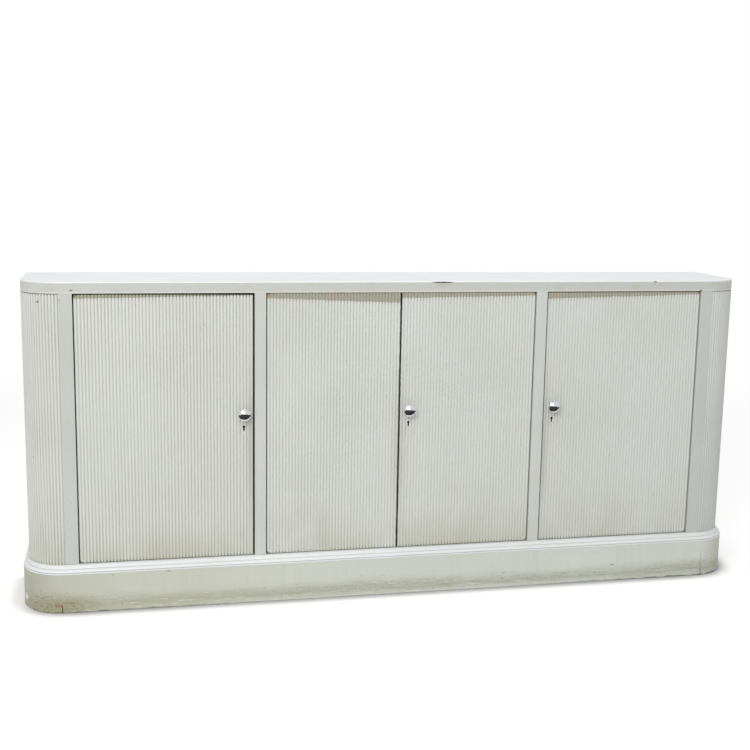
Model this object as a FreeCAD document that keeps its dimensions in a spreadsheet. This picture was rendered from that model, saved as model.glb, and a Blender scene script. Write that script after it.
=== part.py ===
import FreeCAD, Part
import math
import os
from types import SimpleNamespace

import Sketcher

# A long cabinet with four hinged leaves and rounded corners, faced with upright reeds, on a moulded plinth.
# X runs along the front, Y from front to back and Z up, in millimetres.
# The origin lies on the floor, under the middle of the box that holds the whole part.

DRIVING_SIZES = {
    # Case
    "case_height": 920,
    "case_depth": 320,
    "corner_radius": 103,
    "top_thick": 31,
    "bottom_thick": 25,
    "end_thick": 18,
    "core_thick": 18,
    "divider_thick": 18,
    "back_thick": 6,
    "back_band_least": 30,
    "inner_stile_width": 33,
    "outer_stile_width": 37,
    "stile_thick": 30,
    # Reeds
    "reed_pitch": 9.1,
    "reed_crown": 2.8,
    "slat_thick": 5,
    "slat_gap": 0.15,
    "slat_head_gap": 2,
    # Leaves
    "panel_thick": 18,
    "leaf_setback": 4,
    "leaf_gap": 3,
    "head_gap": 3.5,
    "foot_gap": 3,
    "stop_length": 70,
    "stop_thick": 12,
    "stop_height": 16,
    "stop_inset": 60,
    "stop_clearance": 0.3,
    # Plinth and moulding
    "plinth_height": 110,
    "plinth_thick": 25,
    "plinth_overhang": 16,
    "bearer_thick": 22,
    "bearer_height": 60,
    "bead_height": 3.5,
    "quirk": 1.5,
    "ovolo_radius": 7.5,
    "fillet_step": 1.2,
    "cove_radius": 10,
    "ledge_width": 1.5,
    "ledge_height": 2.5,
    # Shelves
    "shelf_thick": 18,
    "shelf_level": 365,
    "shelf_setback": 50,
    "batten_side": 18,
    "batten_inset": 6,
    # Pivot hinges and wood screws
    "pivot_inset": 16,
    "pivot_depth": 6,
    "pin_radius": 2.5,
    "pin_clearance": 0.05,
    "plate_thick": 2.5,
    "plate_width": 9,
    "plate_length": 45,
    "plate_end": 6,
    "washer_radius": 4.5,
    "washer_clearance": 0.1,
    "screw_pitch": 15,
    "screw_head_radius": 3,
    "screw_head_height": 2,
    "screw_radius": 1.5,
    "screw_length": 11,
    "screw_clearance": 0.1,
    "back_screw_inset": 77,
    # Knobs
    "knob_level": 548,
    "knob_radius": 18,
    "knob_projection": 28,
    "knob_base_radius": 10,
    "knob_base_thick": 3,
    "knob_neck_curve": 9,
    "knob_rim_level": 14.5,
    "knob_rim_height": 4.5,
    "knob_rim_curve": 2.5,
    "knob_rim_round": 1.4,
    "knob_bolt_radius": 2,
    "knob_bolt_reach": 12,
    "knob_bolt_clearance": 0.1,
    "knob_bolt_head_radius": 4.5,
    "knob_bolt_head_height": 2.5,
    # Locks
    "lock_backset": 26,
    "key_level": 511,
    "key_head_radius": 3.2,
    "key_slot_width": 3.6,
    "key_slot_drop": 11.5,
    "lock_width": 48,
    "lock_above": 22,
    "lock_below": 30,
    "lock_depth": 12,
    "lock_wall": 1.5,
    "cap_thick": 2,
    "cap_lip": 9,
    "bolt_rise": 12,
    "bolt_height": 12,
    "bolt_thick": 6,
    "bolt_length": 38,
    "bolt_travel": 8,
    "bolt_clearance": 0.15,
    "stud_radius": 2.5,
    "stud_inset": 14,
    "strike_thick": 1.5,
    "strike_height": 40,
    "strike_width": 11,
    "strike_clearance": 0.75,
    # Bolts of the passive leaf
    "rod_radius": 4,
    "rod_tail": 2,
    "rod_inset": 22,
    "rod_standoff": 8,
    "rod_recess": 1,
    "rod_travel": 14,
    "rod_clearance": 0.1,
    "rod_knob_radius": 3,
    "rod_knob_reach": 14,
    "rod_knob_slack": 2,
    "guide_width": 24,
    "guide_plate_thick": 2,
    "guide_plate_length": 74,
    "guide_side": 12,
    "guide_height": 10,
    "guide_drop": 4,
    "keep_length": 30,
    "keep_width": 13,
    "keep_thick": 2,
    "keep_clearance": 0.4,
    "keep_slack": 1.5,
}

DRIVING_COUNTS = {
    "outer_reeds": 53,
    "left_leaf_reeds": 42,
    "right_leaf_reeds": 44,
    "corner_reeds": 18,
    "back_screw_rows": 4,
}

doc = FreeCAD.newDocument("reeded_cabinet")
sheet = doc.addObject("Spreadsheet::Sheet", "Sizes")
pieces = []


class Size:
    """A length or a count, with its value and the formula that ties it to the sheet."""

    def __init__(self, value, formula):
        self.value = value
        self.formula = formula

    def __add__(self, other):
        other = as_size(other)
        return Size(self.value + other.value, f"({self.formula} + {other.formula})")

    def __sub__(self, other):
        other = as_size(other)
        return Size(self.value - other.value, f"({self.formula} - {other.formula})")

    def __mul__(self, other):
        other = as_size(other)
        return Size(self.value * other.value, f"({self.formula} * {other.formula})")

    def __truediv__(self, other):
        other = as_size(other)
        return Size(self.value / other.value, f"({self.formula} / {other.formula})")

    def __neg__(self):
        return as_size(0) - self

    def __radd__(self, other):
        return as_size(other) + self

    def __rsub__(self, other):
        return as_size(other) - self

    def __rmul__(self, other):
        return as_size(other) * self


def as_size(number):
    """A plain number as a size, and a size as it is."""
    if isinstance(number, Size):
        return number
    return Size(float(number), repr(float(number)))


def whole(size_in):
    """The nearest whole number."""
    return Size(round(size_in.value), f"round({size_in.formula})")


def whole_below(size_in):
    """The next whole number below."""
    return Size(math.floor(size_in.value), f"floor({size_in.formula})")


def tangent(degrees):
    """The tangent of an angle in degrees."""
    return Size(math.tan(math.radians(degrees.value)), f"tan({degrees.formula})")


def crown_curve(half_chord, rise):
    """The radius of an arc with this half chord and rise."""
    return (half_chord * half_chord + rise * rise) / (2 * rise)


def fill_sheet():
    """Write the driving sizes and counts to the sheet and return them by name."""
    named = {}
    for row, (alias, value) in enumerate((DRIVING_SIZES | DRIVING_COUNTS).items(), start=1):
        sheet.set(f"A{row}", alias)
        sheet.set(f"B{row}", str(value))
        sheet.setAlias(f"B{row}", alias)
        named[alias] = Size(float(value), f"Sizes.{alias}")
    doc.recompute()
    return SimpleNamespace(**named)


size = fill_sheet()

# Layout along Y: the knobs reach furthest to the front, and the box's middle is the origin
knob_reach = size.knob_projection - size.leaf_setback
back_y = (size.case_depth + knob_reach) / 2
face_y = back_y - size.case_depth
crown_y = face_y + size.leaf_setback
panel_y = crown_y + size.slat_thick
panel_back_y = panel_y + size.panel_thick
pivot_y = panel_y + size.pivot_depth
corner_y = face_y + size.corner_radius
inside_back_y = back_y - size.back_thick

# Layout along X, from the middle of the cabinet outwards
outer_leaf = whole(size.outer_reeds) * size.reed_pitch
left_leaf = whole(size.left_leaf_reeds) * size.reed_pitch
right_leaf = whole(size.right_leaf_reeds) * size.reed_pitch
middle_half = (left_leaf + right_leaf + 3 * size.leaf_gap) / 2
outer_start = middle_half + size.inner_stile_width
outer_end = outer_start + outer_leaf + 2 * size.leaf_gap
corner_x = outer_end + size.outer_stile_width
case_half = corner_x + size.corner_radius
end_face_x = case_half - size.slat_thick
end_inside_x = end_face_x - size.end_thick
divider_x = middle_half + (size.inner_stile_width - size.divider_thick) / 2
divider_middle = divider_x + size.divider_thick / 2

# Layout along Z
floor_z = size.plinth_height + size.bottom_thick
top_z = size.case_height - size.top_thick
opening_height = top_z - floor_z
leaf_z = floor_z + size.foot_gap
leaf_top_z = top_z - size.head_gap
leaf_height = leaf_top_z - leaf_z
shelf_z = floor_z + size.shelf_level

# Reeds of the corners and ends
corner_step = as_size(90) / whole(size.corner_reeds)
core_radius = size.corner_radius - size.slat_thick
end_reeds = whole_below((size.case_depth - size.corner_radius - size.back_band_least) / size.reed_pitch)
band_start_y = corner_y + end_reeds * size.reed_pitch

# Lock parts
bolt_z = size.key_level + size.bolt_rise
lock_front_y = panel_back_y - size.lock_depth
bolt_y = lock_front_y + (size.lock_depth - size.bolt_thick) / 2
bolt_middle_y = bolt_y + size.bolt_thick / 2
rod_y = panel_back_y + size.rod_standoff

UPRIGHT = FreeCAD.Rotation()
TO_FRONT = FreeCAD.Rotation(FreeCAD.Vector(1, 0, 0), 90)
TO_BACK = FreeCAD.Rotation(FreeCAD.Vector(1, 0, 0), -90)
DOWNWARD = FreeCAD.Rotation(FreeCAD.Vector(1, 0, 0), 180)
LEFT = -1
RIGHT = 1
SIDE_NAMES = {LEFT: "left", RIGHT: "right"}

LEAVES = [
    SimpleNamespace(name="left_door", x=-(outer_end - size.leaf_gap), width=outer_leaf,
                    reeds=whole(size.outer_reeds), hinge=LEFT, locked=True),
    SimpleNamespace(name="centre_left_door", x=size.leaf_gap - middle_half, width=left_leaf,
                    reeds=whole(size.left_leaf_reeds), hinge=LEFT, locked=False),
    SimpleNamespace(name="centre_right_door", x=middle_half - size.leaf_gap - right_leaf, width=right_leaf,
                    reeds=whole(size.right_leaf_reeds), hinge=RIGHT, locked=True),
    SimpleNamespace(name="right_door", x=outer_start + size.leaf_gap, width=outer_leaf,
                    reeds=whole(size.outer_reeds), hinge=RIGHT, locked=True),
]
PASSIVE_LEAF = LEAVES[1]


# Drawing helpers

def bind(made, name, value):
    """Tie one property of an object to the sheet."""
    made.setExpression(name, as_size(value).formula)


def put(made, corner, rotation=UPRIGHT):
    """Turn an object and tie its place to the sheet."""
    made.Placement = FreeCAD.Placement(FreeCAD.Vector(), rotation)
    for axis, value in zip("xyz", corner):
        bind(made, f"Placement.Base.{axis}", value)
    return made


def block(name, corner, extent):
    """A rectangular block, from its lowest corner."""
    made = doc.addObject("Part::Box", name)
    for side, value in zip(("Length", "Width", "Height"), extent):
        bind(made, side, value)
    return put(made, corner)


def side_block(side, name, inner_x, width, y, depth, z, height):
    """A block on one side of the cabinet, given from its edge nearer the middle."""
    x = inner_x if side == RIGHT else -(inner_x + width)
    return block(name, (x, y, z), (width, depth, height))


def rod(name, start, radius, length, rotation=UPRIGHT):
    """A round bar from the middle of one end."""
    made = doc.addObject("Part::Cylinder", name)
    bind(made, "Radius", radius)
    bind(made, "Height", length)
    return put(made, start, rotation)


def fuse(name, parts):
    """Several overlapping or touching shapes as one solid."""
    made = doc.addObject("Part::MultiFuse", name)
    made.Shapes = parts
    made.Refine = True
    return made


def cut(name, base, tools):
    """A shape with cuts in it."""
    made = doc.addObject("Part::Cut", name)
    made.Base = base
    made.Tool = tools[0] if len(tools) == 1 else fuse(f"{name}_cuts", tools)
    return made


def group(name, parts):
    """Separate solids that share one name."""
    made = doc.addObject("Part::Compound", name)
    made.Links = parts
    return made


def keep(made):
    """Add an object to the sub-parts that are written, under its label."""
    pieces.append(made)
    return made


def quarter_ring(side, name, outer_radius, thick, z, height):
    """A quarter of a ring about the axis of one rounded corner."""
    turn = FreeCAD.Rotation(FreeCAD.Vector(0, 0, 1), 180 if side == LEFT else -90)
    parts = []
    for part, radius in (("outside", outer_radius), ("inside", outer_radius - thick)):
        made = rod(f"{name}_{part}", (side * corner_x, corner_y, z), radius, height, turn)
        made.Angle = 90
        parts.append(made)
    return cut(name, parts[0], parts[1:])


def new_body(name, plane_role):
    """An empty body and a sketch on one of its own planes."""
    body = doc.addObject("PartDesign::Body", name)
    sketch = body.newObject("Sketcher::SketchObject", f"{name}_sketch")
    plane = next(item for item in body.Origin.OriginFeatures if item.Role == plane_role)
    sketch.AttachmentSupport = (plane, [""])
    sketch.MapMode = "FlatFace"
    return body, sketch


def draw_outline(sketch, corners):
    """Draw a closed outline through the corners, each tied to the sheet.

    A corner is (x, y), followed by a straight line, or (x, y, radius), followed by an arc to the next corner.
    A positive radius turns to the left along the way, and a negative one to the right.
    """
    ends = []
    for number, corner in enumerate(corners):
        after = corners[(number + 1) % len(corners)]
        start = FreeCAD.Vector(as_size(corner[0]).value, as_size(corner[1]).value, 0)
        end = FreeCAD.Vector(as_size(after[0]).value, as_size(after[1]).value, 0)
        if len(corner) == 2:
            sketch.addGeometry(Part.LineSegment(start, end), False)
            ends.append((1, 2))
            continue
        radius = abs(corner[2].value)
        way = math.copysign(1, corner[2].value)
        chord = end - start
        across = FreeCAD.Vector(-chord.y, chord.x, 0).normalize() * way
        sagitta = radius - math.sqrt(radius ** 2 - (chord.Length / 2) ** 2)
        middle = (start + end) / 2 - across * sagitta
        sketch.addGeometry(Part.Arc(start, middle, end), False)
        ends.append((1, 2) if way > 0 else (2, 1))
    for number, corner in enumerate(corners):
        after = (number + 1) % len(corners)
        joined = (number, ends[number][1], after, ends[after][0])
        sketch.addConstraint(Sketcher.Constraint("Coincident", *joined))
        for kind, value in zip(("DistanceX", "DistanceY"), corner):
            rule = Sketcher.Constraint(kind, number, ends[number][0], as_size(value).value)
            bind(sketch, f"Constraints[{sketch.addConstraint(rule)}]", value)
        if len(corner) == 3:
            radius = corner[2] if corner[2].value > 0 else -corner[2]
            rule = Sketcher.Constraint("Radius", number, radius.value)
            bind(sketch, f"Constraints[{sketch.addConstraint(rule)}]", radius)


def pad(body, sketch, name, length, reverse=False):
    """Pad a sketch to a length, along its plane's normal or against it."""
    made = body.newObject("PartDesign::Pad", name)
    made.Profile = sketch
    made.Reversed = reverse
    bind(made, "Length", length)
    return made


def screw(name, head, rotation, grow=0):
    """A countersunk wood screw from the middle of its head, or the hole for one where it is grown."""
    cone = doc.addObject("Part::Cone", f"{name}_head")
    bind(cone, "Radius1", size.screw_head_radius + grow)
    bind(cone, "Radius2", size.screw_radius + grow)
    bind(cone, "Height", size.screw_head_height)
    shank_start = (0, 0, size.screw_head_height)
    shank = rod(f"{name}_shank", shank_start, size.screw_radius + grow, size.screw_length + grow)
    return put(fuse(name, [cone, shank]), head, rotation)


def screw_and_hole(name, head, rotation):
    """A wood screw and the cut that takes it."""
    hole = screw(f"{name}_hole", head, rotation, size.screw_clearance)
    return screw(name, head, rotation), hole


def from_hinge(leaf, distance, extent=0):
    """The lower X of something that starts at a distance from the leaf's hinge edge."""
    if leaf.hinge == LEFT:
        return leaf.x + distance
    return leaf.x + leaf.width - distance - extent


def from_free(leaf, distance, extent=0):
    """The lower X of something that starts at a distance from the leaf's free edge."""
    return from_hinge(leaf, leaf.width - distance - extent, extent)


# Reeds

def slat_row(name, count, height):
    """A row of upright slats along X, with flat backs on the XZ plane and rounded faces to the front."""
    body, sketch = new_body(name, "XY_Plane")
    body.AllowCompound = True
    first = size.slat_gap / 2
    last = size.reed_pitch - first
    edge = size.slat_thick - size.reed_crown
    curve = crown_curve((size.reed_pitch - size.slat_gap) / 2, size.reed_crown)
    draw_outline(sketch, [(first, 0), (first, -edge, curve), (last, -edge), (last, 0)])
    slat = pad(body, sketch, f"{name}_slat", height)
    doc.recompute()
    row = body.newObject("PartDesign::LinearPattern", f"{name}_row")
    row.Originals = [slat]
    row.Direction = (sketch, ["H_Axis"])
    row.Mode = "Spacing"
    bind(row, "Offset", size.reed_pitch)
    bind(row, "Occurrences", count)
    body.Tip = row
    return body


def corner_slats(side, name, height):
    """Wedge-shaped slats round a quarter of a circle."""
    body, sketch = new_body(name, "XY_Plane")
    body.AllowCompound = True
    edge_radius = size.corner_radius - size.reed_crown
    spread = tangent(corner_step / 2)
    base_half = core_radius * spread - size.slat_gap / 2
    edge_half = edge_radius * spread - size.slat_gap / 2
    curve = crown_curve(edge_half, size.reed_crown)
    draw_outline(sketch, [(core_radius, -base_half), (edge_radius, -edge_half, curve),
                          (edge_radius, edge_half), (core_radius, base_half)])
    slat = pad(body, sketch, f"{name}_slat", height)
    doc.recompute()
    fan = body.newObject("PartDesign::PolarPattern", f"{name}_fan")
    fan.Originals = [slat]
    fan.Axis = (sketch, ["N_Axis"])
    fan.Mode = "Spacing"
    bind(fan, "Offset", corner_step)
    bind(fan, "Occurrences", whole(size.corner_reeds))
    body.Tip = fan
    start = 180 if side == LEFT else -90
    turn = FreeCAD.Rotation(FreeCAD.Vector(0, 0, 1), start + corner_step.value / 2)
    return put(body, (side * corner_x, corner_y, floor_z), turn)


def end_slats(side):
    """The reeds of one rounded corner and of the flat end behind it."""
    name = f"end_slats_{SIDE_NAMES[side]}"
    height = opening_height - size.slat_head_gap
    flat = slat_row(f"{name}_flat", end_reeds, height)
    row_start = corner_y if side == RIGHT else band_start_y
    put(flat, (side * end_face_x, row_start, floor_z), FreeCAD.Rotation(FreeCAD.Vector(0, 0, 1), side * 90))
    keep(group(name, [corner_slats(side, f"{name}_corner", height), flat]))


# Case

def rounded_board(name, z, thick):
    """A board as wide and deep as the case, with rounded front corners."""
    body, sketch = new_body(name, "XY_Plane")
    radius = size.corner_radius
    draw_outline(sketch, [(-case_half, back_y), (-case_half, corner_y, radius), (-corner_x, face_y),
                          (corner_x, face_y, radius), (case_half, corner_y), (case_half, back_y)])
    pad(body, sketch, f"{name}_pad", thick)
    return put(body, (0, 0, z))


def case_boards(top_cuts, bottom_cuts):
    """Top, bottom, ends with a raised band at the back, and rounded corners."""
    top_blank = rounded_board("top_blank", top_z, size.top_thick)
    keep(cut("top_board", top_blank, top_cuts))
    bottom_blank = rounded_board("bottom_blank", size.plinth_height, size.bottom_thick)
    keep(cut("bottom_board", bottom_blank, bottom_cuts))
    for side, word in SIDE_NAMES.items():
        name = f"end_panel_{word}"
        flat = side_block(side, f"{name}_flat", end_inside_x, size.end_thick,
                          corner_y, back_y - corner_y, floor_z, opening_height)
        band = side_block(side, f"{name}_band", end_face_x, size.slat_thick,
                          band_start_y, back_y - band_start_y, floor_z, opening_height)
        keep(fuse(name, [flat, band]))
        keep(quarter_ring(side, f"corner_core_{word}", core_radius, size.core_thick, floor_z, opening_height))
        end_slats(side)


def back_and_dividers():
    """Back panel screwed to the upright dividers."""
    screws = []
    back_holes = []
    rows = whole(size.back_screw_rows)
    row_pitch = (opening_height - 2 * size.back_screw_inset) / (rows - 1)
    for side, word in SIDE_NAMES.items():
        divider_holes = []
        for row in range(rows.value):
            name = f"back_screw_{word}_{row}"
            head = (side * divider_middle, back_y, floor_z + size.back_screw_inset + row * row_pitch)
            made, hole = screw_and_hole(name, head, TO_FRONT)
            screws.append(made)
            divider_holes.append(hole)
        blank = side_block(side, f"divider_{word}_blank", divider_x, size.divider_thick,
                           face_y + size.stile_thick, inside_back_y - face_y - size.stile_thick,
                           floor_z, opening_height)
        keep(cut(f"divider_{word}", blank, divider_holes))
        back_holes += divider_holes
    blank = block("back_blank", (-end_inside_x, inside_back_y, floor_z),
                  (2 * end_inside_x, size.back_thick, opening_height))
    keep(cut("back_panel", blank, back_holes))
    keep(group("back_panel_screws", screws))


def stiles():
    """The plain uprights of the front, the inner two with a strike plate let into the outer edge."""
    plates = []
    for side, word in SIDE_NAMES.items():
        keep(side_block(side, f"stile_outer_{word}", outer_end, size.outer_stile_width,
                        face_y, size.stile_thick, floor_z, opening_height))
        blank = side_block(side, f"stile_inner_{word}_blank", middle_half, size.inner_stile_width,
                           face_y, size.stile_thick, floor_z, opening_height)
        plate, cuts = strike(f"strike_{word}", side * outer_start, -side)
        plates.append(plate)
        keep(cut(f"stile_inner_{word}", blank, cuts))
    keep(group("strike_plates", plates))


def strike(name, edge_x, inward):
    """A strike plate let into an upright edge, and the cuts for it and for the bolt behind it."""
    slack = size.strike_clearance
    mortise_depth = size.bolt_travel
    slot_height = size.bolt_height + 2 * slack
    slot_width = size.bolt_thick + 2 * slack

    def sunk(part, depth, width, height):
        x = edge_x if inward == RIGHT else edge_x - depth
        corner = (x, bolt_middle_y - width / 2, bolt_z - height / 2)
        return block(f"{name}_{part}", corner, (depth, width, height))

    slot = sunk("slot", mortise_depth, slot_width, slot_height)
    seat = sunk("seat", size.strike_thick, size.strike_width, size.strike_height)
    return cut(f"{name}_plate", seat, [slot]), [seat, slot]


def plinth():
    """A frame of boards with rounded front corners, and bearers across it."""
    radius = size.corner_radius + size.plinth_overhang
    inside_radius = radius - size.plinth_thick
    front_y = face_y - size.plinth_overhang
    keep(block("plinth_front", (-corner_x, front_y, 0),
               (2 * corner_x, size.plinth_thick, size.plinth_height)))
    for side, word in SIDE_NAMES.items():
        keep(quarter_ring(side, f"plinth_corner_{word}", radius, size.plinth_thick, 0, size.plinth_height))
        keep(side_block(side, f"plinth_end_{word}", corner_x + inside_radius, size.plinth_thick,
                        corner_y, back_y - corner_y, 0, size.plinth_height))
    back_board_y = back_y - size.plinth_thick
    half = corner_x + inside_radius
    keep(block("plinth_back", (-half, back_board_y, 0),
               (2 * half, size.plinth_thick, size.plinth_height)))
    bearers = []
    behind_front_y = front_y + size.plinth_thick
    for place, middle in (("left", -divider_middle), ("centre", 0), ("right", divider_middle)):
        corner = (middle - size.bearer_thick / 2, behind_front_y, size.plinth_height - size.bearer_height)
        extent = (size.bearer_thick, back_board_y - behind_front_y, size.bearer_height)
        bearers.append(block(f"plinth_bearer_{place}", corner, extent))
    keep(group("plinth_bearers", bearers))


def moulding_outline(outward):
    """Bead, quirk, ovolo, fillet and cove, from the case outwards and from the plinth upwards."""
    ovolo_foot = size.plinth_overhang - size.quirk
    ovolo_z = size.bead_height + size.quirk
    ovolo_top = ovolo_z + size.ovolo_radius
    fillet_x = ovolo_foot - size.ovolo_radius
    cove_x = fillet_x - size.fillet_step
    cove_z = ovolo_top + size.fillet_step
    ledge_z = size.bottom_thick - size.ledge_height
    points = [
        (as_size(0), as_size(0)),
        (size.plinth_overhang, as_size(0)),
        (size.plinth_overhang, size.bead_height),
        (ovolo_foot, size.bead_height),
        (ovolo_foot, ovolo_z, size.ovolo_radius),
        (fillet_x, ovolo_top),
        (cove_x, ovolo_top),
        (cove_x, cove_z, -size.cove_radius),
        (size.ledge_width, ledge_z),
        (size.ledge_width, size.bottom_thick),
        (as_size(0), size.bottom_thick),
    ]
    return [(outward(point[0]), *point[1:]) for point in points]


def mouldings():
    """The moulding along the front, and round each corner to the back."""
    body, sketch = new_body("moulding_front", "YZ_Plane")
    mirrored = [(point[0], point[1], -point[2]) if len(point) == 3 else point
                for point in moulding_outline(lambda reach: -reach)]
    draw_outline(sketch, mirrored)
    pad(body, sketch, "moulding_front_run", 2 * corner_x)
    keep(put(body, (-corner_x, face_y, size.plinth_height)))
    for side, word in SIDE_NAMES.items():
        name = f"moulding_{word}"
        body, sketch = new_body(name, "XZ_Plane")
        draw_outline(sketch, moulding_outline(lambda reach: size.corner_radius + reach))
        bend = body.newObject("PartDesign::Revolution", f"{name}_bend")
        bend.Profile = sketch
        bend.ReferenceAxis = (sketch, ["V_Axis"])
        bend.Angle = 90
        bend.Reversed = side == RIGHT
        doc.recompute()
        pad(body, sketch, f"{name}_run", back_y - corner_y, side == RIGHT)
        turn = FreeCAD.Rotation(FreeCAD.Vector(0, 0, 1), 180 if side == LEFT else 0)
        keep(put(body, (side * corner_x, corner_y, size.plinth_height), turn))


def shelves():
    """One shelf in each bay, on battens."""
    front_y = face_y + size.shelf_setback
    depth = inside_back_y - front_y
    batten_y = corner_y + size.batten_inset
    batten_z = shelf_z - size.batten_side
    outer_x = divider_x + size.divider_thick
    battens = []
    for side, word in SIDE_NAMES.items():
        blank = side_block(side, f"shelf_{word}_blank", outer_x, end_inside_x - outer_x,
                           front_y, depth, shelf_z, size.shelf_thick)
        notch = side_block(side, f"shelf_{word}_notch", corner_x, end_inside_x - corner_x,
                           front_y, corner_y - front_y, shelf_z, size.shelf_thick)
        keep(cut(f"shelf_{word}", blank, [notch]))
        for place, inner_x in (("outer", end_inside_x - size.batten_side), ("bay", outer_x),
                               ("middle", divider_x - size.batten_side)):
            battens.append(side_block(side, f"batten_{word}_{place}", inner_x, size.batten_side,
                                      batten_y, inside_back_y - batten_y, batten_z, size.batten_side))
    keep(block("shelf_centre", (-divider_x, front_y, shelf_z), (2 * divider_x, depth, size.shelf_thick)))
    keep(group("shelf_battens", battens))


def door_stops():
    """Small blocks behind the top and foot of each leaf."""
    stops = []
    y = panel_back_y + size.stop_clearance
    extent = (size.stop_length, size.stop_thick, size.stop_height)
    for leaf in LEAVES:
        x = from_free(leaf, size.stop_inset, size.stop_length)
        for place, z in (("top", top_z - size.stop_height), ("foot", floor_z)):
            stops.append(block(f"stop_{leaf.name}_{place}", (x, y, z), extent))
    keep(group("door_stops", stops))


# Hinges

def pivot_hinge(leaf, at_top):
    """One pivot hinge: a plate with a pin in the board, a plate in the leaf's edge, and their screws."""
    name = f"{leaf.name}_{'top' if at_top else 'foot'}"
    board_plate_z = top_z if at_top else floor_z - size.plate_thick
    leaf_plate_z = leaf_top_z - size.plate_thick if at_top else leaf_z
    pin_z = leaf_plate_z if at_top else board_plate_z
    gap = size.head_gap if at_top else size.foot_gap
    pin_length = 2 * size.plate_thick + gap
    pin_x = from_hinge(leaf, size.pivot_inset)
    plate_x = from_hinge(leaf, size.pivot_inset - size.plate_end, size.plate_length)
    plate_y = pivot_y - size.plate_width / 2
    extent = (size.plate_length, size.plate_width, size.plate_thick)
    parts = SimpleNamespace(name=name)
    parts.board_seat = block(f"{name}_board_seat", (plate_x, plate_y, board_plate_z), extent)
    parts.leaf_seat = block(f"{name}_leaf_seat", (plate_x, plate_y, leaf_plate_z), extent)
    pin = rod(f"{name}_pin", (pin_x, pivot_y, pin_z), size.pin_radius, pin_length)
    bore = rod(f"{name}_bore", (pin_x, pivot_y, pin_z), size.pin_radius + size.pin_clearance, pin_length)
    parts.bore = bore
    parts.board_screws = []
    parts.board_holes = []
    parts.leaf_screws = []
    parts.leaf_holes = []
    board_face_z = top_z if at_top else floor_z
    leaf_face_z = leaf_top_z if at_top else leaf_z
    for number in (1, 2):
        x = from_hinge(leaf, size.pivot_inset + number * size.screw_pitch)
        into_board, into_leaf = (UPRIGHT, DOWNWARD) if at_top else (DOWNWARD, UPRIGHT)
        made, hole = screw_and_hole(f"{name}_board_screw_{number}", (x, pivot_y, board_face_z), into_board)
        parts.board_screws.append(made)
        parts.board_holes.append(hole)
        made, hole = screw_and_hole(f"{name}_leaf_screw_{number}", (x, pivot_y, leaf_face_z), into_leaf)
        parts.leaf_screws.append(made)
        parts.leaf_holes.append(hole)
    board_plate = fuse(f"{name}_board_blank", [parts.board_seat, pin])
    parts.board_plate = cut(f"{name}_board_plate", board_plate, parts.board_holes)
    parts.leaf_plate = cut(f"{name}_leaf_plate", parts.leaf_seat, [bore] + parts.leaf_holes)
    return parts


def pivot_washer(hinge, leaf):
    """The washer on the lower pin that carries the leaf."""
    start = (from_hinge(leaf, size.pivot_inset), pivot_y, floor_z)
    disc = rod(f"{hinge.name}_washer_disc", start, size.washer_radius, size.foot_gap - size.washer_clearance)
    return cut(f"{hinge.name}_washer", disc, [hinge.bore])


# Locks and knobs

def keyhole(leaf):
    """The cut for a keyhole, from the reeds to the inside of the lock."""
    x = from_free(leaf, size.lock_backset)
    depth = lock_front_y + 2 * size.lock_wall - face_y
    head = rod(f"{leaf.name}_key_head", (x, face_y, size.key_level), size.key_head_radius, depth, TO_BACK)
    slot = block(f"{leaf.name}_key_slot",
                 (x - size.key_slot_width / 2, face_y, size.key_level - size.key_slot_drop),
                 (size.key_slot_width, depth, size.key_slot_drop))
    return fuse(f"{leaf.name}_keyhole", [head, slot])


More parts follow.
